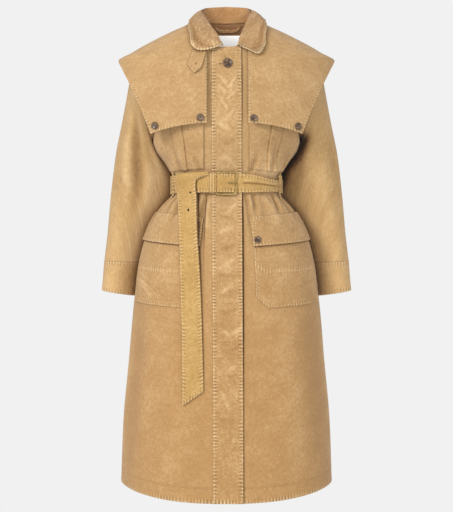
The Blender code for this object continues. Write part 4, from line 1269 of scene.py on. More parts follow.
def cape_front(hand, side, edge_x):
    """One front flap of the cape."""
    share = np.linspace(0, 1, CAPE_FRONT_COLUMNS)[None, :]
    rows = spaced(CAPE_BOTTOM_SIDE, CAPE_TOP_SIDE, CAPE_FRONT_PITCH)[:, None]
    rise = (rows - CAPE_BOTTOM_SIDE) / (CAPE_TOP_SIDE - CAPE_BOTTOM_SIDE)
    bottom = CAPE_BOTTOM_FRONT + (CAPE_BOTTOM_SIDE - CAPE_BOTTOM_FRONT) * share ** CAPE_BOTTOM_CURVE
    top = CAPE_TOP_FRONT + (CAPE_TOP_SIDE - CAPE_TOP_FRONT) * share ** CAPE_TOP_CURVE
    height = bottom + (top - bottom) * rise
    middle = angle_at(CAPE_RINGS, edge_x, height)
    angle = side * (middle + share * (cape_outer(rows) - middle))
    outer, inner = wall(CAPE_RINGS, angle, height, 0.0, CLOTH)
    cloth("cape_front_" + hand, outer, inner, denim, edges=CAPE_EDGES, gap=collar_shadow(outer),
          rests_on=("front_%s_cloth" % hand,),
          sewn=sewn_along(CAPE_EDGES, CAPE_STITCH) + sewn_along(("left", "right"), CAPE_SECOND))


def cape_back():
    """The back of the cape, in one piece."""
    share = np.linspace(0, 1, CAPE_BACK_COLUMNS)[None, :]
    height = spaced(CAPE_BOTTOM_BACK, CAPE_TOP_SIDE, CAPE_BACK_PITCH)[:, None]
    edge = math.pi - cape_outer(height)
    angle = edge + share * (FULL_TURN - 2 * edge)
    cloth("cape_back", *wall(CAPE_RINGS, angle, height, 0.0, CLOTH), denim, edges=CAPE_EDGES,
          rests_on=("back_right_cloth", "back_left_cloth"), sewn=sewn_along(CAPE_EDGES, CAPE_STITCH))


# Collar: columns of each half, how they close up towards the front, rows of its stand and fall
COLLAR_COLUMNS = 64
COLLAR_CLOSING = 1.25
STAND_ROWS = 14
FALL_ROWS = 34
# How far its edge lies off the cape, and how much further on the left
COLLAR_OFF = CLOTH + 0.0040
COLLAR_OFF_LEFT = 0.0020
# Share of a half turn at which the neck line starts, and how far the stand and the fall are raised
NECK_START = 0.04
STAND_LIFT = 0.002
FALL_LIFT = 0.0008
# Middle of the fall's curve: shares of the way out in x, y and z, and its rise
FALL_CREST = (0.54, 0.54, 0.34)
CREST_RISE = 0.004
# Corded edge: extra thickness, shares of the way down where it starts and is full, then the middle
# and half width of a painted shade line above it, and the relief that shades both: the cord paler,
# as wear and as painted highlight, and the line darker, as painted shade
ROPE_THICK = 0.0016
ROPE_START = (0.86, 0.97)
PAINTED_LINE_MIDDLE = 0.80
PAINTED_LINE_HALF = 0.07
ROPE_SHADE = 0.007
PAINTED_LINE_SHADE = 0.006
# Shadow under the collar: how far back it goes, its full share and how far it reaches
SHADOW_BACK = -0.045
SHADOW_SHARE = 0.58
SHADOW_REACH = 0.0068
UP = np.array((0.0, 0.0, 1.0))


def collar_lines():
    """Roll line, outer edge and neck line of the collar, from the right front end to the left one."""
    share = np.linspace(0, 1, COLLAR_COLUMNS) ** COLLAR_CLOSING
    station = np.concatenate((share, share[::-1][1:]))
    side = np.concatenate((-np.ones(COLLAR_COLUMNS), np.ones(COLLAR_COLUMNS - 1)))
    lower = side > 0
    x, y, z, angle, height = (smooth(COLLAR_STATIONS, k, station)[0]
                              + lower * smooth(COLLAR_SHIFT_LEFT, k, station)[0] for k in range(1, 6))
    roll = np.stack((side * x, y, z), axis=-1)
    edge = skin(CAPE_RINGS, side * np.radians(angle), height, COLLAR_OFF + COLLAR_OFF_LEFT * lower)
    round_neck = side * math.pi * (NECK_START + (1 - NECK_START) * station)
    dip = NECK_DIP * np.clip(np.cos(round_neck), 0, 1) ** 2
    neck = skin(BODY_RINGS, round_neck, NECK_TOP - dip, 0.0)
    return roll, edge, neck


def collar_shadow(points):
    """Share of shadow on points close to the front part of the collar's edge."""
    edge = collar_lines()[1]
    edge = edge[edge[:, 1] < SHADOW_BACK]
    away = np.min(np.linalg.norm(points[..., None, :] - edge, axis=-1), axis=-1)
    return SHADOW_SHARE * bell(away / SHADOW_REACH)


def collar():
    """The stand from the neck line to the roll line, and the fall from there to its corded edge."""
    roll, edge, neck = collar_lines()
    outward = unit(roll * (1.0, 1.0, 0.0))
    rise = np.linspace(0, 1, STAND_ROWS)
    stand = np.array([neck + (roll - neck) * v + UP * STAND_LIFT * (1 - v) for v in rise])
    cloth("collar_stand", stand, stand - outward[None] * CLOTH, stand_denim, held="stretched",
          rests_on=("back_right_cloth", "back_left_cloth"))
    start = roll + outward * (CLOTH + SEAM) + UP * FALL_LIFT
    crest = start + (edge - start) * FALL_CREST + UP * CREST_RISE
    down = np.linspace(0, 1, FALL_ROWS)
    under = np.array([start * (1 - v) ** 2 + crest * 2 * v * (1 - v) + edge * v * v for v in down])
    normal = grid_normals(under, False)
    normal = normal * np.sign(np.sum(normal * (outward + UP)[None], axis=-1, keepdims=True))
    rope = ease(*ROPE_START, down)[:, None]
    # A painted shade line along the fall, above the cord
    darkened = bell((down - PAINTED_LINE_MIDDLE) / PAINTED_LINE_HALF)[:, None]
    outer = under + normal * (CLOTH + ROPE_THICK * rope)[..., None]
    cloth("collar_fall", outer, under, collar_denim, edges=("left", "right", "top"), held="folded",
          fold=ROPE_SHADE * rope - PAINTED_LINE_SHADE * darkened, rests_on=("collar_stand_cloth",),
          sewn=sewn_along(("top",), TURN_STITCH, COLLAR_STITCH) + sewn_along(("left", "right"), TURN_STITCH))


# Throat tab: x of its end across, heights of that pointed end, height of its top, how far it leans
# and its end lifts, share of shadow round its outline, columns and rows
TAB_X = (-0.0895, -0.0820, -0.0745, -0.0660, -0.0575)
TAB_END = (-0.0800, -0.0900, -0.0995, -0.0930, -0.0860)
TAB_TOP = -0.040
TAB_LEAN = 0.012
TAB_LIFT = 0.0025
TAB_OUTLINE = 0.40
TAB_COLUMNS = 25
TAB_ROWS = 34


def throat_tab():
    """The tab that hangs under the right collar, with its pointed end."""
    across = np.linspace(0, 1, TAB_COLUMNS)[None, :]
    up = np.linspace(0, 1, TAB_ROWS)[:, None]
    knots = np.linspace(0, 1, len(TAB_X))
    end = np.interp(across, knots, TAB_END)
    height = end + (TAB_TOP - end) * up
    x = np.interp(across, knots, TAB_X) + TAB_LEAN * up
    low = CLOTH + LAY + TAB_LIFT * (1 - up)
    outline = np.zeros((TAB_ROWS, TAB_COLUMNS))
    outline[:, 0] = outline[:, -1] = outline[0] = TAB_OUTLINE
    outer, inner = wall(CAPE_RINGS, angle_at(CAPE_RINGS, x, height), height, low, CLOTH)
    cloth("throat_tab", outer, inner, denim, held="laid", level="top", gap=outline + collar_shadow(outer),
          edges=("left", "right", "bottom"), rests_on=("cape_front_right_cloth",),
          sewn=sewn_along(("left", "right", "bottom"), EDGE_STITCH))


# Placket: columns, height of its full chest width, lift of its left edge and the share across where
# that starts, its puckers, and how much more its creases are shaded than folds
PLACKET_COLUMNS = 30
PLACKET_FULL = -0.1
PLACKET_LIFT = 0.0030
PLACKET_LIFT_START = 0.7
PLACKET_PUCKER = 0.0005
PLACKET_CREASE_SHADE = 6
# The row of stitches across it: height, half width and shade of its groove
PLACKET_BAR = -0.719
BAR_HALF = 0.0016
BAR_SHADE = 0.20


def placket():
    """The strip down the middle of the front, with washed creases and a lifted left edge."""
    rows = spaced(HEM, PLACKET_TOP, FINE)[:, None]
    share = np.linspace(0, 1, PLACKET_COLUMNS)[None, :]
    rise = ease(HEM, PLACKET_FULL, rows)
    right = PLACKET_RIGHT_HEM + (PLACKET_RIGHT_CHEST - PLACKET_RIGHT_HEM) * rise
    left = PLACKET_LEFT_HEM + (PLACKET_LEFT_CHEST - PLACKET_LEFT_HEM) * rise
    x = right + (left - right) * share
    height = rows + 0 * x
    angle = angle_at(BODY_RINGS, x, height)
    bar = int(np.argmin(np.abs(rows - PLACKET_BAR)))
    lifted = PLACKET_LIFT * smooth(PLACKET_GAP, 3, rows)[0] * ease(PLACKET_LIFT_START, 1.0, share)
    washed = creases(PLACKET_CREASES, x, height)
    groove = BAR_SHADE * bell((rows - PLACKET_BAR) / BAR_HALF)
    on_body("placket", angle, height, CLOTH + LAY, placket_denim, extra=lifted + washed,
            shade=washed * PLACKET_CREASE_SHADE, gap=groove + collar_shadow(body(angle, height, CLOTH)),
            edges=("left", "right", "bottom"), pucker=PLACKET_PUCKER, level="top", held="laid",
            rests_on=("front_right_cloth", "front_left_cloth"),
            sewn=sewn_along(("left", "right"), EDGE_STITCH, WIDE_STITCH)
            + (("row", bar), ("bottom", HEM_STITCH)))


# Chest pockets: heights of foot and top, row pitch, x of the inner edge, how far round the outer one
# lies at most, and how far it stays off the armhole in radians
POCKET_FOOT = -0.318
POCKET_TOP = -0.176
POCKET_PITCH = 0.0036
POCKET_INNER_X = 0.052
POCKET_OUTER = math.radians(76.0)
POCKET_ARMHOLE = 0.10
# Their pleat: height where its x is measured, the drop over which it moves, x and move of its two
# sides, gap beside it in radians, rise, columns, and the shadow at the pocket's edge and at its sides
PLEAT_HEIGHT = -0.230
PLEAT_DROP = 0.085
PLEAT_SIDES = ((0.1034, 0.0125), (0.1270, 0.0185))
PLEAT_GAP = 0.010
PLEAT_RISE = 0.0022
PLEAT_COLUMNS = 14
POCKET_SHADE = (0.24, 0.46, 0.16)


def chest_pocket(hand, side):
    """Patch pocket with a raised pleat, its top under the cape."""
    height = spaced(POCKET_FOOT, POCKET_TOP, POCKET_PITCH)[:, None]
    drop = (PLEAT_HEIGHT - height) / PLEAT_DROP
    fold_in, fold_out = (angle_at(BODY_RINGS, x - move * drop, height) for x, move in PLEAT_SIDES)
    inner = angle_at(BODY_RINGS, POCKET_INNER_X, height)
    outer = np.minimum(POCKET_OUTER, RIGHT_ANGLE - armhole(height, ARMHOLE_FRONT) - POCKET_ARMHOLE)
    share = np.linspace(0, 1, PLEAT_COLUMNS)[None, :]
    parts = ((inner, fold_in - PLEAT_GAP), (fold_in, fold_out), (fold_out + PLEAT_GAP, outer))
    angle = side * np.concatenate([first + (last - first) * share for first, last in parts], axis=1)
    past = 2 * PLEAT_COLUMNS
    raised, gap = np.zeros(angle.shape[1]), np.zeros(angle.shape[1])
    raised[PLEAT_COLUMNS:past] = PLEAT_RISE
    gap[[0, PLEAT_COLUMNS - 1, past]] = POCKET_SHADE
    on_body("chest_pocket_" + hand, angle, height + 0 * angle, CLOTH + LAY, denim, gap=gap, extra=raised,
            held="laid", rests_on=("front_%s_cloth" % hand,),
            sewn=sewn_along(("left",), EDGE_STITCH, SECOND_STITCH) + (("bottom", EDGE_STITCH),)
            + sewn_along(("column",), PLEAT_COLUMNS + 1, past - 2))


# Hip pockets and flaps: angle of their side edge, columns, how these close up towards the front, row
# pitch, share of the columns in a clipped corner, and how much more creases are shaded than folds
HIP_END = math.radians(77)
HIP_COLUMNS = 56
HIP_CLOSING = 1.5
HIP_PITCH = 0.0022
HIP_CORNER = 1 / 9
HIP_CREASE_SHADE = 4
# Their front edges: x and the height where it is measured
HIP_FRONT = (0.066, -0.56)
FLAP_FRONT = (0.058, -0.47)
# Heights of their upper and lower edges, at the front and at the side, and of the clipped corner
HIP_TOP = (-0.447, -0.440)
HIP_FOOT = (-0.642, -0.628)
HIP_CUT = 0.029
FLAP_TOP = (-0.4335, -0.4200)
FLAP_FOOT = (-0.500, -0.484)
# Rows of the pocket's cross seam and of its stitches
HIP_SEAM_ROW = 37
HIP_STITCH_ROWS = (36, 39)
# Shadow under the flap: share, half width, distance below the edge; and how far that edge lifts
FLAP_SHADOW = 0.60
FLAP_SHADOW_HALF = 0.0024
FLAP_SHADOW_DROP = 0.0008
FLAP_LIFT = 0.0028


def hip_patch(name, side, edge, top, bottom, low, cut=0.0, lift=0.0, under=0.0, **how):
    """A pocket or flap on the hip, from its front edge to the side.

    Cut is the height of its clipped front corner, lift how far its lower edge stands off, and under
    the share of the flap's shadow on it.
    """
    first, flap = (float(angle_at(BODY_RINGS, *place)) for place in (edge, FLAP_FRONT))
    share = np.linspace(0, 1, HIP_COLUMNS)[None, :] ** HIP_CLOSING
    foot = bottom[0] + (bottom[1] - bottom[0]) * share + cut * np.clip(1 - share / HIP_CORNER, 0, 1)
    head = top[0] + (top[1] - top[0]) * share
    up = np.linspace(0, 1, int((top[0] - bottom[0]) / HIP_PITCH))[:, None]
    height = foot + (head - foot) * up
    turn = first + (HIP_END - first) * share
    angle = side * turn + 0 * height
    x = skin(BODY_RINGS, angle, height, 0.0)[..., 0]
    washed = creases(POCKET_CREASES, x, height)
    flap_edge = FLAP_FOOT[0] + (FLAP_FOOT[1] - FLAP_FOOT[0]) * (turn - flap) / (HIP_END - flap)
    gap = under * bell((height - flap_edge + FLAP_SHADOW_DROP) / FLAP_SHADOW_HALF)
    if side < 0:
        gap = gap + gap_shade(TAIL_GAP, x, height)
    on_body(name, angle, height, low, denim, held="laid", extra=lift * (1 - up) ** 2 + washed,
            shade=washed * HIP_CREASE_SHADE, gap=gap, **how)


def hip_pocket(hand, side):
    """Patch pocket with a clipped corner, its top under the flap."""
    hip_patch("hip_pocket_" + hand, side, HIP_FRONT, HIP_TOP, HIP_FOOT, CLOTH + LAY, cut=HIP_CUT,
              under=FLAP_SHADOW, edges=("left", "bottom"), lines=(HIP_SEAM_ROW,),
              rests_on=("front_%s_cloth" % hand,),
              sewn=sewn_along(("left", "bottom"), EDGE_STITCH, POCKET_STITCH)
              + sewn_along(("row",), *HIP_STITCH_ROWS))


def hip_flap(hand, side):
    """Flap over the hip pocket, its lower edge standing off a little."""
    hip_patch("hip_flap_" + hand, side, FLAP_FRONT, FLAP_TOP, FLAP_FOOT, 2 * (CLOTH + LAY),
              lift=FLAP_LIFT, edges=("left", "bottom", "top"), rests_on=("hip_pocket_%s_cloth" % hand,),
              sewn=sewn_along(("left", "bottom", "top"), EDGE_STITCH) + (("top", POCKET_STITCH),))


# Belt strap: x where it starts and ends, angle from the front where it laps over itself, columns
# round the waist and in the lap, rows, and the rows that are stitched
STRAP_START_X = 0.021
STRAP_END_X = 0.066
STRAP_LAP = 0.25
STRAP_COLUMNS = 260
LAP_COLUMNS = 60
STRAP_ROWS = 31
STRAP_STITCH_ROWS = (8, 22)
# How far its edges draw together beside its left loop, and the degrees over which they do and let go
BELT_DRAWN_TOP = 0.0115
BELT_DRAWN_FOOT = 0.0035
BELT_DRAWN_START = (14.0, 56.0)
BELT_DRAWN_END = (72.0, 110.0)
# How far the lap rises over the buckle's heel bar and comes down behind the hanging end, by x
LAP_RISE = 0.0072
LAP_RISE_X = (-0.019, 0.016)
LAP_FALL = 0.0030
LAP_FALL_X = (-0.062, -0.042)
# Where its end is folded under: x, half width and shade of that line
BELT_FOLD_X = -0.0225
BELT_FOLD_HALF = 0.0016
BELT_FOLD_SHADE = 0.60
# Long crease left of the buckle: degrees over which it starts and ends, place across, half width and
# depth of its ridge and trough, how much more it is shaded than folds, half width and share of its shadow
BELT_CREASE_START = (8.0, 16.0)
BELT_CREASE_END = (56.0, 68.0)
BELT_CREASE = ((0.16, 0.12, 0.0012), (0.0, 0.055, -0.0026))
BELT_CREASE_SHADE = 4.0
BELT_SHADOW_HALF = 0.05
BELT_SHADOW = 0.16


def belt_strap():
    """The strap from the buckle round the back, then up over the buckle's heel bar."""
    start = -angle_at(BELT_RINGS, STRAP_START_X, BELT_MID)
    end = -FULL_TURN - angle_at(BELT_RINGS, STRAP_END_X, BELT_MID)
    turn = STRAP_LAP - FULL_TURN
    angle = np.concatenate((np.linspace(start, turn, STRAP_COLUMNS), np.linspace(turn, end, LAP_COLUMNS)[1:]))
    angle = angle[None, :]
    across = np.linspace(0.5, -0.5, STRAP_ROWS)[:, None]
    over = angle < turn
    degrees = np.degrees(angle) % 360
    drawn = fade_in_out(BELT_DRAWN_START, BELT_DRAWN_END, degrees) * ~over
    height = BELT_MID + BELT_WIDTH * across
    height = height + drawn * (BELT_DRAWN_FOOT * (0.5 - across) - BELT_DRAWN_TOP * (0.5 + across))
    x = skin(BELT_RINGS, angle, height, 0.0)[..., 0]
    rise = LAP_RISE * (1 - ease(*LAP_RISE_X, x)) - LAP_FALL * (1 - ease(*LAP_FALL_X, x))
    creased = fade_in_out(BELT_CREASE_START, BELT_CREASE_END, degrees) * ~over
    crease = creased * sum(depth * bell((across - place) / half) for place, half, depth in BELT_CREASE)
    gap = BELT_SHADOW * bell(across / BELT_SHADOW_HALF) * creased
    gap = gap + BELT_FOLD_SHADE * bell((x - BELT_FOLD_X) / BELT_FOLD_HALF) * over
    cloth("belt_strap", *wall(BELT_RINGS, angle, height, np.where(over, rise, 0.0) + crease, STRAP),
          belt_twill, slot="belt_cloth", fold=crease * BELT_CREASE_SHADE, gap=gap, edges=("top", "bottom"),
          held="laid", rests_on=("front_right_cloth", "front_left_cloth"),
          sewn=sewn_along(("top", "bottom"), EDGE_STITCH) + sewn_along(("row",), *STRAP_STITCH_ROWS))


# Hanging end: heights of its square end and top, height where its slant starts, row pitch, columns,
# puckers
TAIL_FOOT = -0.829
TAIL_TOP = -0.322
TAIL_SLANT_TOP = -0.78
TAIL_PITCH = 0.0030
TAIL_COLUMNS = 19
TAIL_PUCKER = 0.0003
# Its eyelets: x and height, radius and height pairs of their form, sides, width to height, rise off it
EYELETS = ((-0.0770, -0.3832), (-0.0834, -0.4212))
EYELET_FORM = ((0.0033, 0.0), (0.0033, 0.0003), (0.0002, 0.0004))
EYELET_SIDES = 18
EYELET_LONG = 0.75
EYELET_OFF = 0.0001
# Distance out by which the direction off a surface is taken
LOOK_OUT = 0.001


def standing(surface, x, height, off):
    """A point off a surface, and the direction in which the surface faces there."""
    place = surface(x, height, off)
    return place, unit(surface(x, height, off + LOOK_OUT) - place)


def unfolded_front(x, height, off):
    """Point on the front of the body form without its folds, which the belt's end hangs from."""
    return skin(BODY_RINGS, angle_at(BODY_RINGS, x, height), height, off)


def belt_tail():
    """The loose end, looped over the belt and hanging down the right front, with two eyelets."""
    rows = spaced(TAIL_FOOT, TAIL_TOP, TAIL_PITCH)[:, None]
    share = np.linspace(0, 1, TAIL_COLUMNS)[None, :]
    outer_x, inner_x, low = (smooth(TAIL_ROWS, k, rows)[0] for k in (1, 2, 3))
    x = outer_x + (inner_x - outer_x) * share
    height = rows - TAIL_POINT_DROP * (1 - ease(TAIL_FOOT, TAIL_SLANT_TOP, rows)) * (1 - share)
    cloth("belt_tail", unfolded_front(x, height, low + STRAP), unfolded_front(x, height, low), belt_twill,
          slot="belt_cloth", edges=("left", "right", "bottom"), held="hung", level="top",
          pucker=TAIL_PUCKER, rests_on=("belt_strap_cloth",),
          sewn=sewn_along(("left", "right"), EDGE_STITCH, WIDE_STITCH) + (("bottom", EDGE_STITCH),))
    # Each eyelet is a dark disc: painted shade where its hole is
    for number, (x, height) in enumerate(EYELETS):
        off = float(smooth(TAIL_ROWS, 3, height)[0]) + STRAP + EYELET_OFF
        place, ahead = standing(unfolded_front, x, height, off)
        lathe("eyelet_%d" % number, place, ahead, EYELET_FORM, EYELET_SIDES, hole_shade_finish,
              long=EYELET_LONG)


# Keeper: x and y from side to side, corner radius, thickness, rows, points of a corner, stitched rows
KEEPER_X = (-0.0385, -0.0285)
KEEPER_Y = (-0.1207, -0.1088)
KEEPER_CORNER = 0.0020
KEEPER_THICK = 0.0012
KEEPER_ROWS = 7
KEEPER_POINTS = 7
KEEPER_STITCH_ROWS = (1, 5)


def keeper():
    """Loop of cloth that holds both layers of the strap beside the buckle."""
    half = BELT_WIDTH / 2 + SEAM - KEEPER_CORNER
    middle = (KEEPER_Y[0] + KEEPER_Y[1]) / 2
    deep = (KEEPER_Y[1] - KEEPER_Y[0]) / 2 - KEEPER_CORNER
    quarter = np.repeat(np.arange(4), KEEPER_POINTS) * RIGHT_ANGLE
    turn = quarter + np.tile(np.linspace(0, RIGHT_ANGLE, KEEPER_POINTS), 4)
    aside = np.sign(np.cos(quarter + RIGHT_ANGLE / 2))
    above = np.sign(np.sin(quarter + RIGHT_ANGLE / 2))
    x = np.linspace(*KEEPER_X, KEEPER_ROWS)[:, None] + 0 * turn
    walls = []
    for radius in (KEEPER_CORNER + KEEPER_THICK, KEEPER_CORNER):
        y = middle + aside * deep + radius * np.cos(turn)
        z = BELT_MID + above * half + radius * np.sin(turn)
        walls.append(np.stack((x, y + 0 * x, z + 0 * x), axis=-1))
    cloth("belt_keeper", *walls, belt_twill, slot="belt_cloth", wrap=True, strip_of="belt_strap_cloth",
          sewn=sewn_along(("row",), *KEEPER_STITCH_ROWS))


# Belt loops: angle round, half width in radians, columns and rows; heights and distances off the cloth
# of their sewn ends below and above the belt, and heights where they lie on it
LOOP_ANGLE = math.radians(67.0)
LOOP_HALF = 0.035
LOOP_COLUMNS = 7
LOOP_ROWS = 34
LOOP_FOOT = ((-0.387, 0.0008), (-0.3825, 0.0020))
LOOP_OVER = (-0.3765, BELT_MID, -0.3285)
LOOP_HEAD = ((-0.3245, 0.0035), (-0.3195, 0.0008))


def belt_loop(hand, side):
    """Narrow strip over the belt at the side, sewn above and below it."""
    angle = side * (LOOP_ANGLE + np.linspace(-LOOP_HALF, LOOP_HALF, LOOP_COLUMNS))
    foot, head = ([body(angle, z, CLOTH + off) for z, off in ends] for ends in (LOOP_FOOT, LOOP_HEAD))
    over = [skin(BELT_RINGS, angle, z, STRAP + SEAM) for z in LOOP_OVER]
    inner, _ = loft(np.array(foot + over + head), LOOP_ROWS)
    normal = grid_normals(inner, False)
    normal = normal * np.sign(np.sum(normal * inner * (1.0, 1.0, 0.0), axis=-1, keepdims=True))
    cloth("belt_loop_" + hand, inner + normal * CLOTH, inner, belt_twill, slot="belt_cloth", held="stretched",
          edges=("left", "right"), strip_of="front_%s_cloth" % hand)


# Hanger loop and label: x from end to end, columns and rows, heights and thickness of each, and sag
NECK_TRIM_X = (-0.028, 0.034)
NECK_TRIM_COLUMNS = 40
NECK_TRIM_ROWS = 12
HANGER = (0.0385, 0.0445, 0.0012)
LABEL = (-0.007, 0.022, 0.0006)
HANGER_SAG = 0.0095


def inside_neck():
    """Hanger loop, which sags, and bare label inside the back of the neck."""
    across = np.linspace(*NECK_TRIM_X, NECK_TRIM_COLUMNS)[None, :]
    sag = HANGER_SAG * (1 - np.linspace(-1, 1, NECK_TRIM_COLUMNS)[None, :] ** 4)
    as_loop = dict(finish=stand_denim, edges=("top", "bottom"), strip_of="collar_stand_cloth")
    as_label = dict(finish=label_finish, slot="label")
    for name, (low, high, thick), drop, how in (("hanger_loop", HANGER, sag, as_loop),
                                                ("neck_label", LABEL, 0 * sag, as_label)):
        height = np.linspace(low, high, NECK_TRIM_ROWS)[:, None] - drop
        angle = math.pi - angle_at(BODY_RINGS, across, height)
        outer, inner = wall(BODY_RINGS, angle, height, -LAY - thick, thick)
        cloth(name, outer, inner, held="stretched", rests_on=("back_right_cloth", "back_left_cloth"), **how)


def solid(name, points, faces, finish, stands=()):
    """A piece of trim, which may stand for some nodes."""
    piece = mesh_object(name, points, faces, finish)
    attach(piece, "root")
    if stands:
        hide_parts(*stands)


def tube(name, middles, sizes, first, second, sides, finish, stands=()):
    """A closed tube of rings round a row of middles, with first and second as their half axes."""
    turn = circle(sides)[:, None]
    spokes = first * np.cos(turn) + second * np.sin(turn)
    grid = np.array([middle + spokes * size for middle, size in zip(middles, sizes)])
    solid(name, grid.reshape(-1, 3), tube_faces(*grid.shape[:2]), finish, stands)


# Buckle: columns round its frame, rows round its bar, and how square the frame's corners and the bar are
BUCKLE_COLUMNS = 128
BUCKLE_ROWS = 16
BUCKLE_SQUARE = 0.25
BAR_SQUARE = 0.6
# Prong: x and size of its rings, half depth, half height, sides
PRONG_RINGS = ((0.003, 0.6), (0.0045, 1.0), (0.012, 1.0), (0.022, 1.0), (0.0240, 0.8), (0.0245, 0.3))
PRONG_DEEP = 0.001
PRONG_HIGH = 0.0015
PRONG_SIDES = 12


def buckle():
    """A frame with rounded corners and a rounded bar, and its short prong in front."""
    turn = circle(BUCKLE_COLUMNS)
    aside, above = rounded(np.cos(turn), BUCKLE_SQUARE), rounded(np.sin(turn), BUCKLE_SQUARE)
    rows = []
    for spin in circle(BUCKLE_ROWS):
        inset = BUCKLE_BAR / 2 * (1 - rounded(np.cos(spin), BAR_SQUARE))
        deep = BUCKLE_THICK / 2 * (1 + rounded(np.sin(spin), BAR_SQUARE))
        rows.append(np.stack(((BUCKLE_HALF_WIDTH - inset) * aside, -deep + 0 * turn,
                              (BUCKLE_HALF_HEIGHT - inset) * above), axis=-1))
    place = np.arange(BUCKLE_ROWS * BUCKLE_COLUMNS).reshape(BUCKLE_ROWS, BUCKLE_COLUMNS)
    right, after = np.roll(place, -1, axis=1), np.roll(place, -1, axis=0)
    faces = np.stack((after, np.roll(right, -1, axis=0), right, place), axis=-1).reshape(-1, 4)
    solid("buckle_frame", np.array(rows).reshape(-1, 3) + BUCKLE_MID, [faces], brass_finish,
          ("belt_buckle",))
    prong_y = BUCKLE_MID[1] - BUCKLE_THICK - SEAM - PRONG_DEEP
    tube("buckle_prong", [np.array((x, prong_y, BELT_MID)) for x, _ in PRONG_RINGS],
         [size for _, size in PRONG_RINGS], np.array((0.0, -PRONG_DEEP, 0.0)), UP * PRONG_HIGH, PRONG_SIDES,
         brass_finish, ("belt_prong",))


def across_and_up(ahead):
    """The level direction and the upward one, both square to ahead."""
    aside = unit(np.cross(ahead, UP))
    return aside, np.cross(aside, ahead)


def lathe(name, place, ahead, profile, sides, finish, stands=(), long=1.0, lean=0.0):
    """A round form standing on a point and facing along ahead, from radius and height pairs.

    Long draws it out sideways, and lean slants that.
    """
    aside, up = across_and_up(ahead)
    drawn = (aside * math.cos(lean) + up * math.sin(lean)) * long
    narrow = up * math.cos(lean) - aside * math.sin(lean)
    tube(name, [place + ahead * height for _, height in profile], [radius for radius, _ in profile],
         drawn, narrow, sides, finish, stands)


# Buttons: radius and height pairs of their form as shares of radius and thickness, and sides
BUTTON_FORM = ((0.74, 0.0), (0.92, 0.10), (1.0, 0.40), (1.0, 0.70), (0.95, 0.92), (0.86, 1.0), (0.76, 0.94),
               (0.66, 0.76), (0.55, 0.66), (0.30, 0.62), (0.02, 0.62))
BUTTON_SIDES = 36
# Thread in their holes: distance from the middle, half length and half thickness as shares of the
# radius, height as a share of the thickness, how far it bows, rings and sides
THREAD_APART = 0.15
THREAD_HALF = 0.26
THREAD_THICK = 0.075
THREAD_HEIGHT = 0.66
THREAD_BOW = 0.0005
THREAD_RINGS = 7
THREAD_SIDES = 6
# How far off the body or cape form they stand
BUTTON_OFF = 0.0012
ON_PLACKET = 2 * CLOTH + LAY + BUTTON_OFF
ON_CAPE = CLOTH + BUTTON_OFF
ON_FLAP = 3 * CLOTH + 2 * LAY + BUTTON_OFF
ON_TAB = 2 * CLOTH + LAY + 0.0014
# Name, form, x, height, distance off, radius
BUTTONS = (
    ("neck_button", front, 0.0026, -0.0746, ON_PLACKET, NECK_BUTTON_RADIUS),
    ("cape_button_right_inner", cape, -0.0602, -0.2026, ON_CAPE, SMALL_BUTTON_RADIUS),
    ("cape_button_right_outer", cape, -0.1650, -0.2190, ON_CAPE, SMALL_BUTTON_RADIUS),
    ("cape_button_left_inner", cape, 0.0625, -0.2040, ON_CAPE, SMALL_BUTTON_RADIUS),
    ("cape_button_left_outer", cape, 0.1650, -0.2210, ON_CAPE, SMALL_BUTTON_RADIUS),
    ("hip_button_left", front, 0.0700, -0.4860, ON_FLAP, SMALL_BUTTON_RADIUS),
    ("hip_button_right", front, -0.0760, -0.4860, ON_FLAP, SMALL_BUTTON_RADIUS),
)
# Buttonholes of placket and tab, dark slits of painted shade: form, x, height, distance off, length to width,
# slant
BUTTONHOLES = (
    (front, -0.0140, -0.0760, ON_PLACKET, 3.2, 0.0),
    (cape, -0.0705, -0.0775, ON_TAB, 4.2, -1.1),
)
BUTTONHOLE_FORM = ((0.0010, 0.0), (0.0010, 0.0003), (0.0001, 0.0004))
BUTTONHOLE_SIDES = 14


def button(name, surface, x, height, off, radius):
    """A button with a raised rim and two bars of thread."""
    place, ahead = standing(surface, x, height, off)
    profile = [(radius * r, BUTTON_THICK * h) for r, h in BUTTON_FORM]
    lathe(name + "_horn", place, ahead, profile, BUTTON_SIDES, horn_finish, (name,))
    aside, up = across_and_up(ahead)
    steps = np.linspace(0, 1, THREAD_RINGS)[:, None]
    bar = aside * radius * THREAD_HALF * (2 * steps - 1) + ahead * THREAD_BOW * np.sin(math.pi * steps)
    for number, row in enumerate((-1, 1)):
        middle = place + up * row * radius * THREAD_APART + ahead * BUTTON_THICK * THREAD_HEIGHT
        tube("%s_thread_%d" % (name, number), middle + bar, [radius * THREAD_THICK] * THREAD_RINGS, up, ahead,
             THREAD_SIDES, dark_thread_and_slit_shade)


def buttons():
    """All buttons, and two buttonholes as dark slits of painted shade."""
    for settings in BUTTONS:
        button(*settings)
    for number, (surface, x, height, off, long, lean) in enumerate(BUTTONHOLES):
        place, ahead = standing(surface, x, height, off)
        lathe("buttonhole_%d" % number, place, ahead, BUTTONHOLE_FORM, BUTTONHOLE_SIDES, dark_thread_and_slit_shade,
              long=long, lean=lean)


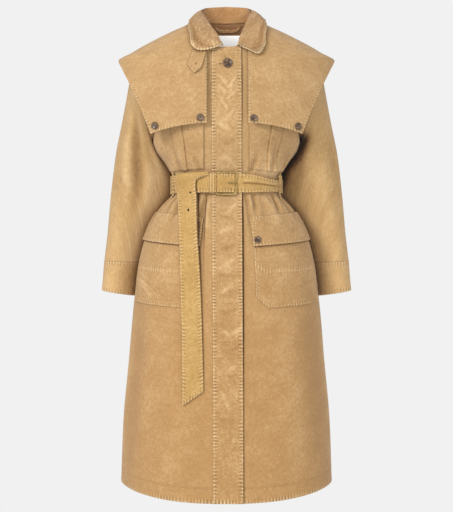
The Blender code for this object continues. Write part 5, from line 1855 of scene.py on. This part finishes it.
# The coat
front_panel("right", -1, FRONT_EDGE_RIGHT, (TROUGH_GAP, TAIL_GAP))
front_panel("left", 1, FRONT_EDGE_LEFT, (PLACKET_GAP,))
for hand, side, table, edge_x in (("right", -1, SLEEVE_FOLDS_RIGHT, CAPE_EDGE_RIGHT),
                                  ("left", 1, SLEEVE_FOLDS_LEFT, CAPE_EDGE_LEFT)):
    back_panel(hand, side)
    sleeve(hand, side, table)
    cuff(hand, side)
    cape_front(hand, side, edge_x)
    chest_pocket(hand, side)
    hip_pocket(hand, side)
    hip_flap(hand, side)
    belt_loop(hand, side)
cape_back()
collar()
throat_tab()
placket()
belt_strap()
belt_tail()
keeper()
inside_neck()
buckle()
buttons()
for name, owners, finish in (
        ("stitches_body", ("front_right", "front_left", "back_right", "back_left", "placket"), thread),
        ("stitches_upper", ("cape_front_right", "cape_front_left", "cape_back", "collar_fall", "throat_tab",
                            "cuff_right", "cuff_left"), thread),
        ("stitches_pockets", ("chest_pocket_right", "chest_pocket_left", "hip_pocket_right",
                              "hip_pocket_left", "hip_flap_right", "hip_flap_left"), thread),
        ("stitches_belt", ("belt_strap", "belt_tail"), thread),
        ("stitches_keeper", ("belt_keeper",), pale_thread)):
    stitch_group(name, owners, finish)

# Studio: size of a pixel in the plane of the shoulders, height of the view in pixels, the camera's
# distance and height, its sensor, the backdrop's grey, and the floor
PIXEL = 0.002414
VIEW_HEIGHT = 512
CAMERA_AWAY = 3.0
CAMERA_HEIGHT = -0.5214
SENSOR = 36.0
BACKDROP = 0.88
FLOOR = -1.45
FLOOR_RADIUS = 1.3
FLOOR_SIDES = 64
FLOOR_GREY = 0.8

scene = bpy.context.scene
scene.view_settings.view_transform = "Standard"
camera = bpy.data.objects.new("camera", bpy.data.cameras.new("camera"))
scene.collection.objects.link(camera)
camera.location = (0.0, -CAMERA_AWAY, CAMERA_HEIGHT)
camera.rotation_euler = (RIGHT_ANGLE, 0.0, 0.0)
camera.data.sensor_fit = "VERTICAL"
camera.data.sensor_height = SENSOR
camera.data.lens = SENSOR * CAMERA_AWAY / (VIEW_HEIGHT * PIXEL)
scene.camera = camera

world = bpy.data.worlds.new("studio")
scene.world = world
world.use_nodes = True
world.node_tree.nodes["Background"].inputs["Color"].default_value = (BACKDROP, BACKDROP, BACKDROP, 1.0)
world.node_tree.nodes["Background"].inputs["Strength"].default_value = 1.0


def lamp(name, place, aim, size, power):
    """A round soft light that faces a point."""
    light = bpy.data.lights.new(name, "AREA")
    light.shape = "DISK"
    light.size = size
    light.energy = power
    thing = bpy.data.objects.new(name, light)
    scene.collection.objects.link(thing)
    thing.location = place
    thing.rotation_euler = (Vector(aim) - Vector(place)).to_track_quat("-Z", "Y").to_euler()


lamp("key", place=(-2.0, -2.4, 1.2), aim=(0.0, 0.0, -0.4), size=1.3, power=74.0)
lamp("fill", place=(0.5, -3.2, -0.7), aim=(0.0, 0.0, -0.6), size=1.6, power=40.0)

rim = [(FLOOR_RADIUS * math.cos(t), FLOOR_RADIUS * math.sin(t), FLOOR) for t in circle(FLOOR_SIDES)]
floor_finish = plain("floor_pale", (FLOOR_GREY, FLOOR_GREY, FLOOR_GREY), 0.9)[0]
floor = mesh_object("floor", rim, [np.arange(FLOOR_SIDES)[None, :]], floor_finish)
